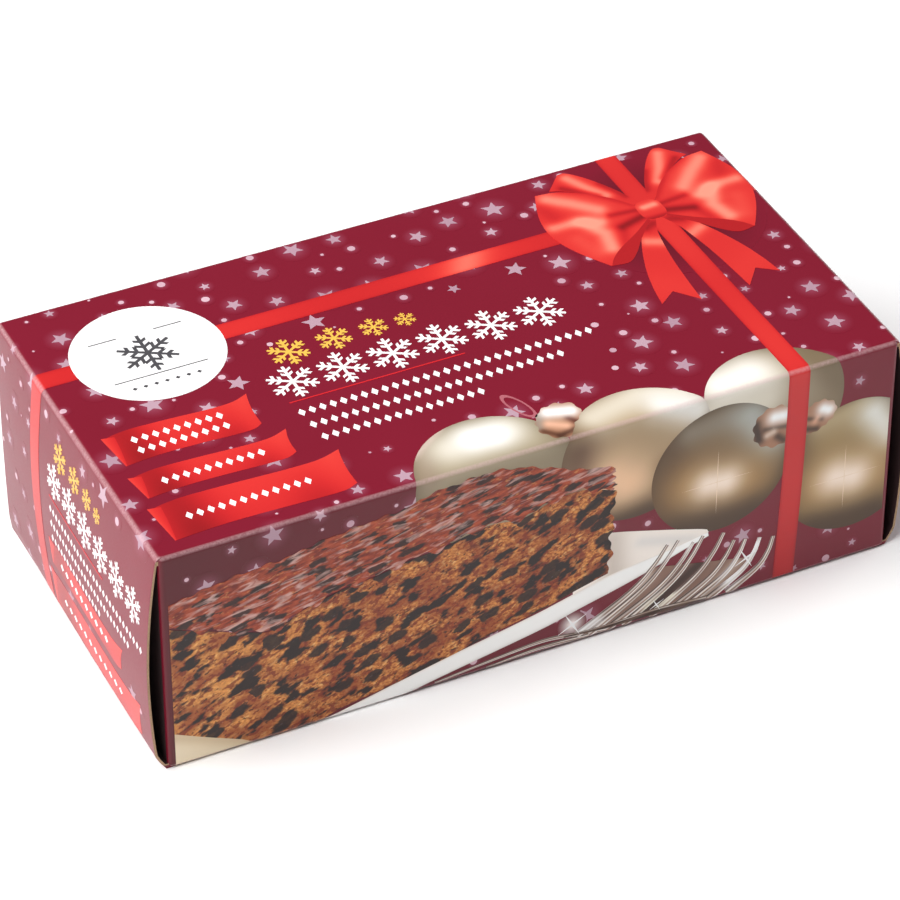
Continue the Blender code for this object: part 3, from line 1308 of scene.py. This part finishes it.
def diamond_rows(rows):
    """A flat drawing of rows of diamonds, each a height and its left and right end."""
    outlines = []
    for v, left, right in rows:
        count = int((right - left) / DIAMOND_STEP) + 1
        outlines += [diamond(left + DIAMOND_STEP * i, v) for i in range(count)]
    return shapes(*outlines)


lay("banner_diamonds", diamond_rows(BANNER_ROWS), "ornament", white_ink)
end_rows = moved(diamond_rows(BANNER_ROWS[2:]), banner_on_end)
lay("end_banner_diamonds", end_rows, "ornament", white_ink)

for side, place in (("top", as_drawn), ("end", on_left_end)):
    white = [snowflake(centre, *CRYSTAL, BARBS) for centre in CRYSTALS]
    yellow = [snowflake((u, v), r, YELLOW_STROKE * r, BARBS) for u, v, r in YELLOW_CRYSTALS]
    for name, drawn, ink in (
        ("crystals", shapes(*white), white_ink),
        ("yellow", shapes(*yellow), gold_ink),
        ("rule", shapes(box(*RULE)), red_ink),
        ("diamonds", diamond_rows(DIAMOND_ROWS), white_ink),
    ):
        lay(f"{side}_{name}", moved(drawn, place), "ornament", ink)

# %% [markdown]
# ## Glass baubles, as printed
#
# Five matt tan and silver baubles lie across the front crease. Their light is drawn as a
# painter would: a base ink for each, darker towards the rim, then soft strokes for the pale
# window light on top and the warm glow below. Every vertex takes its own ink, computed from
# its distance to those strokes.

# %% Painted inks
painted_ink, tree = new_material("four-colour picture ink under satin varnish")
varnish(tree, add(tree, "ShaderNodeAttribute", attribute_name="Ink").outputs["Color"])

MARGIN = 82.6
FOOT = -SIDE - 0.45


def paint(flat, inks, strokes):
    """Lays soft strokes of ink, each a path, a width, an ink and a share, over what is there."""
    places = places_of(flat)
    for path, width, ink, share in strokes:
        inks = blend(inks, ink, share * near(places, path, width))
    give_ink(flat, inks)


def bauble(name, centre, radius, base, rim, strokes):
    """A ball with a darker rim and its lights, cut off at the right end and the base."""
    ball = disc(centre, radius, rings=26, spokes=88)
    out = np.linalg.norm(places_of(ball) - np.array(centre), axis=1) / radius
    inks = blend(screen(base), rim, 0.85 * np.clip((out - 0.55) / 0.45, 0, 1) ** 2.2)
    paint(ball, inks, strokes)
    cut(ball, 0, MARGIN, -1)
    cut(ball, 1, FOOT, 1)
    return lay(name, ball, name, painted_ink)


# %% The five baubles
SILVER = "b3b6b1"
WINDOW = "fbf6ee"
GOLD_TAN = "ad8450"
GLOW = "fde8d6"
SHADE = "4c3828"

bauble("bauble_1", (53.5, -7.6), 17.5, "a89880", "6c5d46", [
    ([(43, 2), (50, 3)], 7.5, WINDOW, 1.0),
    ([(40, -5), (52, -5)], 5.0, "e2dac9", 0.85),
    ([(64, 3), (70, -6)], 5.0, "7a6850", 0.85),
    ([(63, -12), (68, -12)], 5.0, "86735a", 0.6),
])
bauble("bauble_3", (22.2, -8.2), 17.5, "a88e6c", "6d5840", [
    ([(14, 4), (26, 7), (34, 4)], 5.0, "ded3c0", 0.95),
    ([(29, 2), (36, -2)], 4.6, "efece6", 0.95),
    ([(9, -5), (9, -18)], 4.4, "5f4331", 0.85),
    ([(17, -14), (20, -16)], 7.0, "f2c69f", 1.0),
    ([(14, -27), (28, -25)], 4.0, SHADE, 0.9),
    ([(29, -14), (30, -21)], 3.0, "8d7050", 0.6),
])
bauble("bauble_2", (-10.6, -3.2), 17.5, "a4957a", "71634c", [
    ([(-25, 0), (-23, 7)], 3.0, "9a8672", 0.8),
    ([(-17, 7), (-4, 8)], 5.8, "e0d8c8", 0.95),
    ([(-11, 8), (-7, 7.4)], 4.2, "ffffff", 1.0),
    ([(-18, -5), (2, -5)], 4.5, "8f8068", 0.8),
    ([(-24.5, 8), (-16, 14)], 0.9, "e3c9c0", 0.6),
])
bauble("bauble_4", (42.3, -19.6), 16.4, "7e664a", "46331f", [
    ([(31, -10), (29, -25)], 5.5, "5c442f", 0.85),
    ([(35, -8), (44, -6.5)], 3.6, "8d8374", 0.8),
    ([(49, -8), (54, -16)], 5.0, SILVER, 0.9),
    ([(35, -22), (48, -25)], 7.2, GOLD_TAN, 0.9),
    ([(33, -34), (50, -34)], 5.0, SHADE, 0.9),
    ([(39.5, -23), (43.5, -23.5)], 4.4, GLOW, 1.0),
])
bauble("bauble_5", (74.5, -29.2), 17.0, "9a8055", "523f2a", [
    ([(66, -16), (76, -14)], 4.0, "bba680", 0.85),
    ([(79, -17), (83, -24)], 4.5, "ecebe4", 0.95),
    ([(61, -24), (61, -33)], 4.0, "6b5235", 0.8),
    ([(67, -32), (78, -33)], 7.6, GOLD_TAN, 0.9),
    ([(66, -44), (80, -44)], 5.0, SHADE, 0.9),
    ([(70.5, -31.5), (74.5, -32.5)], 5.0, GLOW, 1.0),
])

# %% Caps and sparks
CAP_COPPER = "a97b60"
CAP_DARK = "3c2a20"
GLINT = "ffffff"
CAP_RUFFLE = 0.05
RUFFLES = 11


def cap(name, outline, strokes):
    """A bauble's metal crown: copper and silver with one blown-out glint."""
    crown = blob(outline, rings=10, spokes=72)
    centre = places_of(crown)[0]

    def ruffled(u, v):
        """Pushes the crown's edge in and out as it goes round."""
        x, y = u - centre[0], v - centre[1]
        ruffle = 1 + CAP_RUFFLE * math.sin(RUFFLES * math.atan2(y, x))
        return centre[0] + x * ruffle, centre[1] + y * ruffle

    paint(moved(crown, ruffled), screen(CAP_COPPER), strokes)
    return lay(name, crown, "caps", painted_ink)


CAP_4 = [(49.5, -11), (51.5, -8.2), (55, -7.4), (58, -9), (58.3, -16.5), (54.5, -18), (50.4, -15.6)]
cap("cap_4", CAP_4, [
    ([(50.0, -11), (51, -15)], 1.5, CAP_DARK, 0.95),
    ([(52.4, -12.8), (57.8, -13.4)], 0.7, CAP_DARK, 0.7),
    ([(55.5, -15.5), (57, -17)], 1.0, CAP_DARK, 0.8),
    ([(53, -14.5), (54.5, -14)], 0.9, "d9c3b2", 0.9),
    ([(54.6, -10.2), (57, -10.4)], 2.0, GLINT, 1.0),
])
CAP_5 = [(61.9, -10.5), (66, -9.3), (69.3, -11.4), (68.6, -14.8), (64.4, -17.4), (62, -16.4)]
cap("cap_5", CAP_5, [
    ([(62.4, -16), (64.8, -16.6)], 0.9, CAP_DARK, 0.8),
    ([(62.2, -13.2), (66, -14.4)], 0.6, CAP_DARK, 0.7),
    ([(64.4, -14.6), (65, -13.6)], 0.9, "d6a184", 0.9),
    ([(66.4, -11.8), (67.6, -12.4)], 1.8, GLINT, 1.0),
])
CAP_2 = [(1.9, 4.6), (3.4, 1.9), (6.0, 0.4), (8.4, 1.5), (9.6, 3.6), (12.4, 6.2)]
CAP_2 += [(12.6, 9.4), (9.6, 11.4), (5.8, 11.0), (3.0, 8.4)]
cap("cap_2", CAP_2, [
    ([(2.6, 5.4), (4.2, 9.4)], 1.2, "94867a", 0.9),
    ([(2.8, 4.0), (5.2, 1.4)], 0.9, "5a3626", 0.9),
    ([(5.2, 1.2), (8.6, 2.2)], 0.9, "4a2c20", 0.9),
    ([(4.8, 5.8), (7.8, 3.8)], 1.3, "e6b092", 0.95),
    ([(9.4, 6.0), (10.2, 4.4)], 0.9, "54271c", 0.9),
    ([(6.4, 9.4), (10.8, 8.0)], 2.1, GLINT, 1.0),
])

HOOP_INNER = 0.78
HOOP_SPOKES = 64
HOOP_AT, HOOP_LONG, HOOP_SHORT = (1.9, 13.9), (2.0, -4.7), (1.3, 1.45)
HOOP_INK = "b0626c"
SPARKS = ((41.5, -23), (72.5, -32))
SPARK_REACH, SPARK_WAIST = 8.5, 0.16

warm_ink = drifting_ink("warm highlight ink under satin varnish", "ecd0b0", "fbe6d2", FIBRE_SIZE)


def leaning(x, y):
    """The hoop hangs at a slant, so its circle comes out as a leaning oval."""
    return [at + down * x + wide * y for at, down, wide in zip(HOOP_AT, HOOP_LONG, HOOP_SHORT)]


hoop = bmesh.new()
angles = [2 * math.pi * spoke / HOOP_SPOKES for spoke in range(HOOP_SPOKES)]
pairs = [[hoop.verts.new((*around((0, 0), r, a), 0)) for r in (HOOP_INNER, 1)] for a in angles]
grid_faces(hoop, [*pairs, pairs[0]])
give_ink(moved(hoop, leaning), [screen(HOOP_INK)] * len(hoop.verts))
lay("hanging_ring", hoop, "caps", painted_ink)
glows = shapes(*(spark(at, SPARK_REACH, SPARK_WAIST, 0) for at in SPARKS))
lay("bauble_sparks", glows, "sparks", warm_ink)

# %% [markdown]
# ## The slice of cake
#
# The picture on the front is a slice of dark fruit cake on a white plate. It has two faces:
# the cut face, a golden crumb full of raisins, and the glazed top, seen flat from the side.
# Both are textures. Noise that is cut off at a level makes patches, Voronoi cells with
# ragged edges make more raisins, and turned and squeezed coordinates give all of them their
# lean. The pattern sizes are those of the printed cake.


# %% Spots and streaks
def laid_over(tree, under, ink, mask, share):
    """One ink laid over another where a mask says."""
    return mixed(tree, maths(tree, "MULTIPLY", mask, share), under, ink)


def squeezed(tree, place, lean, size, offset):
    """The drawing's coordinates, turned and squeezed so that a round pattern comes out oval."""
    turned = {"Vector": place, "Rotation": (0, 0, -lean), "Location": (*offset, 0)}
    turned = add(tree, "ShaderNodeMapping", turned).outputs[0]
    return vector_maths(tree, "MULTIPLY", turned, (1 / size[0], 1 / size[1], 1))[0]


WOBBLE_SCALE = 0.55
SPOT_SOFTNESS = 0.07


def spots(tree, place, lean, size, reach, share, offset, ragged):
    """A mask of scattered oval spots with ragged, soft edges."""
    wobble = {"Vector": place, "Scale": WOBBLE_SCALE, "Detail": 4}
    wobble = add(tree, "ShaderNodeTexNoise", wobble).outputs["Color"]
    push = vector_maths(tree, "MULTIPLY", wobble, (ragged, ragged, 0))[0]
    oval = squeezed(tree, vector_maths(tree, "ADD", place, push)[0], lean, size, offset)
    cells = {"Vector": oval, "Scale": 1.0}
    cells = add(tree, "ShaderNodeTexVoronoi", cells, voronoi_dimensions="2D").outputs
    limits = (reach + SPOT_SOFTNESS, reach - SPOT_SOFTNESS)
    inside = spread(tree, cells["Distance"], *limits, interpolation_type="SMOOTHSTEP")
    pick = add(tree, "ShaderNodeSeparateColor", {0: cells["Color"]}).outputs[0]
    return maths(tree, "MULTIPLY", inside, maths(tree, "LESS_THAN", pick, share))


def cloud_mask(tree, place, lean, size, low, high, offset, detail=3, twist=0):
    """A mask of soft patches or, squeezed hard, of streaks."""
    oval = squeezed(tree, place, lean, size, offset)
    cloud = {"Vector": oval, "Scale": 1.0, "Detail": detail, "Distortion": twist}
    return spread(tree, add(tree, "ShaderNodeTexNoise", cloud).outputs[0], low, high)


def patches(tree, place, ink, lean, layers):
    """Lays patches over an ink, each an ink, its share, a size, two limits and an offset."""
    for over, share, *cloud in layers:
        ink = laid_over(tree, ink, over, cloud_mask(tree, place, lean, *cloud), share)
    return ink


# %% Crumb and glaze
LEAN = math.radians(24)
GLAZE_LEAN = LEAN / 2
RAISIN = "231615"
CRUMB_PATCHES = (
    ("f4c57c", 0.7, (1.7, 1.1), 0.56, 0.70, (3, 7)),
    ("8a3414", 0.75, (9, 5), 0.44, 0.58, (11, 2)),
    ("76220f", 0.8, (2.1, 1.2), 0.52, 0.58, (9, 51)),
    ("34140f", 0.85, (1.5, 0.9), 0.61, 0.66, (27, 5)),
    ("561a10", 0.75, (6.2, 2.9), 0.51, 0.57, (5, 1)),
    ("1f1413", 0.97, (6.2, 2.9), 0.560, 0.590, (5, 1)),
)
CRUMB_GLOSS = ("6a666b", 0.5, (1.6, 0.6), 0.66, 0.74, (31, 3))
GLAZE_PATCHES = (
    ("cf8a4c", 0.6, (1.9, 0.8), 0.60, 0.68, (21, 14)),
    (RAISIN, 0.9, (5.4, 1.7), 0.56, 0.61, (51, 4)),
)
GLAZE_GLOSS = ("d9b0a6", 0.75, (5.4, 1.3), 0.52, 0.70, (8, 4), 3, 0.8)

crumb_ink, tree = new_material("printed picture of fruit cake crumb")
place = add(tree, "ShaderNodeUVMap", uv_map="Dieline").outputs[0]
grain = cloud_mask(tree, place, 0, (0.75, 0.6), 0.34, 0.64, (0, 0), 4)
ink = mixed(tree, grain, "9e4a1e", "dd9348")
along = add(tree, "ShaderNodeSeparateXYZ", {0: place}).outputs[0]
ink = laid_over(tree, ink, "eda957", spread(tree, along, -46, -70), 0.4)
ink = patches(tree, place, ink, LEAN, CRUMB_PATCHES)
raisins = spots(tree, place, LEAN, (7.0, 3.6), 0.36, 0.42, (40, 23), 1.8)
ink = laid_over(tree, ink, RAISIN, raisins, 0.95)
varnish(tree, patches(tree, place, ink, LEAN, [CRUMB_GLOSS]))

glaze_ink, tree = new_material("printed picture of glazed cake top")
place = add(tree, "ShaderNodeUVMap", uv_map="Dieline").outputs[0]
flow = cloud_mask(tree, place, GLAZE_LEAN, (2.6, 1.0), 0.36, 0.64, (0, 0), 4)
ink = patches(tree, place, mixed(tree, flow, "6f2015", "b04a28"), GLAZE_LEAN, GLAZE_PATCHES)
raisins = spots(tree, place, GLAZE_LEAN, (6.2, 2.3), 0.36, 0.40, (2, 9), 1.6)
ink = laid_over(tree, ink, RAISIN, raisins, 0.92)
varnish(tree, patches(tree, place, ink, GLAZE_LEAN, [GLAZE_GLOSS]))

# %% The slice
LEFT = -82.4
CAKE_TOP = [(LEFT, -12.4), (-77, -11), (-66, -9.5), (-56, -8.7), (-50, -7.4), (-40, -6.2)]
CAKE_TOP += [(-30, -5.2), (-25, -3.5), (-20, -3), (-12, -2.4), (-6, -3.2), (0, -5)]
CAKE_TOP += [(5, -7), (10, -9), (14, -9.6), (17, -11.2)]
GLAZE_LINE = [(LEFT, -18.5), (-76, -21), (-66, -25), (-60, -26.6), (-54, -24), (-45, -21.5)]
GLAZE_LINE += [(-38, -20.8), (-30, -19.2), (-22, -18.3), (-12, -16.3), (-4, -17)]
GLAZE_LINE += [(3, -14.8), (10, -14.4), (17.3, -17)]
CLOTH_LINE = [(LEFT, -46.2), (-75, -49.8), (-68, -53), (-63, FOOT)]
CAKE_FOOT = [*CLOTH_LINE, (-53, FOOT), (-45, -52.9), (-30, -50.4)]
CAKE_FOOT += [(-20, -48), (-10, -45.4), (0, -43.3), (8, -41), (16.4, -38.8)]
SLICE_GRID = (150, 40)
GLAZE_GRID = (220, 14)


def torn_side(t, s):
    """The slice's right side is a little ragged."""
    ragged = 0.5 * math.sin(19 * s) + 0.35 * math.sin(41 * s + 1)
    return ragged * max(t - 0.9, 0) * 10, 0


def bumpy(t, s):
    """The glaze is bumpy along its top and hangs unevenly over the cut face."""
    top = 0.22 * math.sin(97 * t) + 0.18 * math.sin(171 * t + 2)
    foot = 0.60 * math.sin(71 * t) + 0.45 * math.sin(143 * t + 1)
    return torn_side(t, s)[0], mix(top, foot, s)


lay("cake_slice", sheet(GLAZE_LINE, CAKE_FOOT, *SLICE_GRID, torn_side), "cake", crumb_ink)
lay("cake_glaze", sheet(CAKE_TOP, GLAZE_LINE, *GLAZE_GRID, bumpy), "glaze", glaze_ink)

# %% Plate and cloth
RIM_TOP = [(-52, FOOT), (-24, -48.9), (0, -43.8), (16, -39.6), (30, -37.6), (39.8, -35.9)]
RIM_FOOT = [(-33, FOOT), (-24, -53.3), (0, -48.7), (10, -46)]
RIM_FOOT += [(20, -43.4), (28, -40.9), (34, -38.8), (40, -37)]
RIM_GRID = (60, 10)
WELL_LINE = [(8, -26), (17, -28.1), (25, -30.4), (38.4, -34.6), (40, -36)]
WELL_GRID = (30, 14)
CLOTH_FOOT = [(LEFT, FOOT), (-76, FOOT), (-70, FOOT), (-63, FOOT - 0.01)]
CLOTH_GRID = (24, 8)

plate = sheet(WELL_LINE, [(8, -43), *RIM_TOP[3:]], *WELL_GRID)
paint(plate, screen("fbf1e8"), [
    ([(17, -30), (17.5, -40)], 3.5, "b9a99c", 0.55),
    ([(24, -33), (36, -36.5)], 1.6, "ddd9d6", 0.6),
])
lay("plate_well", plate, "plate", painted_ink)

rim = sheet(RIM_TOP, RIM_FOOT, *RIM_GRID)
s = shares(*RIM_GRID)[1]
inks = blend(screen("fffefc"), "d9d4cf", 0.8 * np.clip((s - 0.75) / 0.25, 0, 1) ** 1.5)
give_ink(rim, blend(inks, "d8c4b2", 0.45 * hump(s, 0, 0.08)))
lay("plate_rim", rim, "rim", painted_ink)

cloth = sheet(CLOTH_LINE, CLOTH_FOOT, *CLOTH_GRID)
paint(cloth, screen("ead8ba"), [([(-82, -47), (-66, -54)], 1.8, "c3a883", 0.6)])
lay("cloth", cloth, "cloth", painted_ink)

# %% [markdown]
# ## Two forks
#
# Two silver forks lie beside the plate. Printed this small they are mostly their tines:
# narrow curved bands that go from light to brown, to light again and to black across.
# Each band follows a path from its tip to the handle, and bulges to the right on the way.

# %% Two forks
TINES = (
    ((30.2, -36.0), (9.0, -53.2)), ((32.8, -35.7), (12.0, -54.0)), ((36.4, -37.4), (16.0, -54.3)),
    ((38.7, -36.5), (20.0, -54.4)), ((43.6, -37.4), (26.5, -54.4)), ((46.2, -40.3), (31.0, -54.4)),
    ((49.0, -41.0), (35.5, -54.4)), ((52.5, -41.8), (40.5, -54.4)), ((55.8, -42.6), (45.0, -54.4)),
)
TINE_BULGE = (1.7, -1.5)
TINE_GRID = (30, 12)
TINE_WIDTHS = (0.9, 2.1)
HANDLE_PATHS = (
    [(-24, -54.2), (-10, -52.7), (0, -51.9), (6, -52.4), (16, -54.2)],
    [(-12, -54.4), (0, -53.6), (12, -54.3)],
)
HANDLE_WIDTHS = (0.5, 1.2)
NECK_PATH = [(6, -52.6), (16, -53.3), (28, -53.4), (40, -54.6)]
NECK_WIDTHS = (0.5, 2.4)
SHADE_LEFT = [(26.5, -41), (20, -46.5), (14, -50.5), (8, -53.4)]
SHADE_RIGHT = [(50.5, -46.5), (48, -49), (45, -52), (42, -54.8)]
SHADE_GRID = (24, 24)


def silver(s, t):
    """The inks across a polished tine: light, brown, light again and black."""
    inks = blend(screen("e6d8cc"), "ffffff", hump(s, 0.10, 0.08))
    inks = blend(inks, "7d5440", hump(s, 0.34, 0.10))
    inks = blend(inks, "fffaf4", hump(s, 0.58, 0.10))
    inks = blend(inks, "38221d", hump(s, 0.88, 0.13))
    return blend(inks, "5e3f33", 0.30 * (0.5 + 0.5 * np.sin(8 * t + 5 * s)))


t, s = shares(*TINE_GRID)
tines = bmesh.new()
for tip, root in TINES:
    middle = [mix(a, b, 0.5) + c for a, b, c in zip(tip, root, TINE_BULGE)]
    upper = [mix(a, b, 0.22) + 0.75 * c for a, b, c in zip(tip, root, TINE_BULGE)]
    strip(tines, [tip, upper, middle, root], *TINE_WIDTHS, *TINE_GRID)
number = np.repeat(np.arange(len(TINES)), len(t))
paint(tines, silver(np.tile(s, len(TINES)), np.tile(t, len(TINES)) + 0.3 * number), [
    ([(45.5, -50.5), (51.5, -43.5)], 2.6, "ffffff", 1.0),
    ([(26.5, -52), (31, -50)], 1.8, "fffbe8", 1.0),
    ([(32, -40), (35, -38)], 2.0, "ffffff", 0.8),
    ([(10, -52.5), (14, -51)], 1.6, "ffffff", 0.8),
])
cut(tines, 1, FOOT, 1)
lay("fork_tines", tines, "forks", painted_ink)

between = sheet(SHADE_LEFT, SHADE_RIGHT, *SHADE_GRID)
paint(between, screen("8a685a"), [
    ([(25, -43), (10, -53)], 2.2, "d6c2b3", 0.9),
    ([(38, -44), (24, -54)], 1.8, "38231e", 0.9),
    ([(47, -47), (38, -54)], 1.6, "c9b3a3", 0.8),
])
lay("fork_shade", between, "cake", painted_ink)

# %% Handles and neck
handles = bmesh.new()
for path in HANDLE_PATHS:
    strip(handles, path, *HANDLE_WIDTHS, *TINE_GRID)
give_ink(handles, silver(np.tile(1 - s, 2), np.tile(t, 2)))
cut(handles, 1, FOOT, 1)
lay("fork_handles", handles, "handles", painted_ink)

neck = bmesh.new()
strip(neck, NECK_PATH, *NECK_WIDTHS, *TINE_GRID)
inks = blend(screen("3c2620"), "f2e9df", hump(s, 0.22, 0.10))
give_ink(neck, blend(inks, "8d6f5c", 0.6 * (0.5 + 0.5 * np.sin(22 * t + 6 * s))))
cut(neck, 1, FOOT, 1)
lay("fork_neck", neck, "neck", painted_ink)

# %% Glints
FLARE = (8, -49.9)
FLARE_RADIUS, FLARE_FADE = 3.4, 3.3
GLINTS = ((*FLARE, 3.8), (49.4, -46.4, 3.2), (28, -51.6, 2.0))

flare_ink = fading_ink("white flare fading into the ground ink", "fdf3f0")
flare = disc(FLARE, FLARE_RADIUS, rings=10, spokes=40)
out = np.linalg.norm(places_of(flare) - np.array(FLARE), axis=1)
give_tone(flare, "glow", np.clip(1.15 - out / FLARE_FADE, 0, 1) ** 1.6)
lay("flare", flare, "caps", flare_ink)
rays = shapes(*(spark((u, v), r, 0.11 * r, 0.5) for u, v, r in GLINTS))
lay("glints", rays, "glints", white_ink)

# %% [markdown]
# ## Floor, light and camera
#
# The pack stands on a wide white table under a large soft light from the upper left, with
# two weak ones at the right and behind, as in a small product studio. The table sends much
# of that light back, which brightens the front panel from below and shows as a pale sheen
# on the end flap, seen at a shallow angle.

# %% Floor and light
FLOOR_DROP = 0.1 * MM
FLOOR_RADIUS = 3
ROOM_STRENGTH = 0.16

floor_paper, tree = new_material("white studio paper")
give_surface(tree, {"Base Color": linear("fafafa"), "Roughness": MATT})
bm = bmesh.new()
bmesh.ops.create_circle(bm, cap_ends=True, segments=64, radius=FLOOR_RADIUS)
floor = link(bm, "floor")
floor.location.z = -FLOOR_DROP
floor.data.materials.append(floor_paper)

world = bpy.data.worlds.new("studio room")
world.use_nodes = True
room = world.node_tree.nodes["Background"]
room.inputs["Color"].default_value = linear("ffffff")
room.inputs["Strength"].default_value = ROOM_STRENGTH
bpy.context.scene.world = world


def softbox(name, direction, distance, size, power):
    """A square soft light that faces the pack from this direction."""
    lamp = bpy.data.lights.new(name, "AREA")
    lamp.size = size
    lamp.energy = power
    placed = in_scene(name, lamp)
    toward = Vector(direction).normalized()
    placed.location = toward * distance
    placed.rotation_euler = toward.to_track_quat("Z", "Y").to_euler()


softbox("key softbox", (-0.55, -0.05, 0.83), 1.6, 1.3, 38)
softbox("right fill", (0.90, 0.15, 0.42), 1.6, 0.8, 7)
softbox("back left card", (-0.60, 0.73, 0.32), 1.4, 0.7, 3)

scene = bpy.context.scene
scene.view_settings.view_transform = "Standard"
scene.view_settings.look = "None"

# %% Camera
AZIMUTH = math.radians(-25.582)
ELEVATION = math.radians(37.733)
ROLL = math.radians(-0.017)
DISTANCE = 945.03 * MM
LENS = 177.48
AIM_RIGHT = 0.616 * MM
AIM_UP = -3.163 * MM

flat = math.cos(ELEVATION)
back = Vector((math.sin(AZIMUTH) * flat, -math.cos(AZIMUTH) * flat, math.sin(ELEVATION)))
level = Vector((0, 0, 1)).cross(back).normalized()
upright = back.cross(level)
right = level * math.cos(ROLL) + upright * math.sin(ROLL)
up = upright * math.cos(ROLL) - level * math.sin(ROLL)
aim = Vector((0, 0, HEIGHT / 2)) + right * AIM_RIGHT + up * AIM_UP
turn = Matrix((right, up, back)).transposed().to_4x4()

lens = bpy.data.cameras.new("camera")
lens.sensor_width = 36
lens.lens = LENS
lens.clip_start = 0.05
lens.clip_end = 20
camera = in_scene("camera", lens)
camera.matrix_world = Matrix.Translation(aim + back * DISTANCE) @ turn
scene.camera = camera
print("camera at", [round(c, 3) for c in camera.matrix_world.translation])
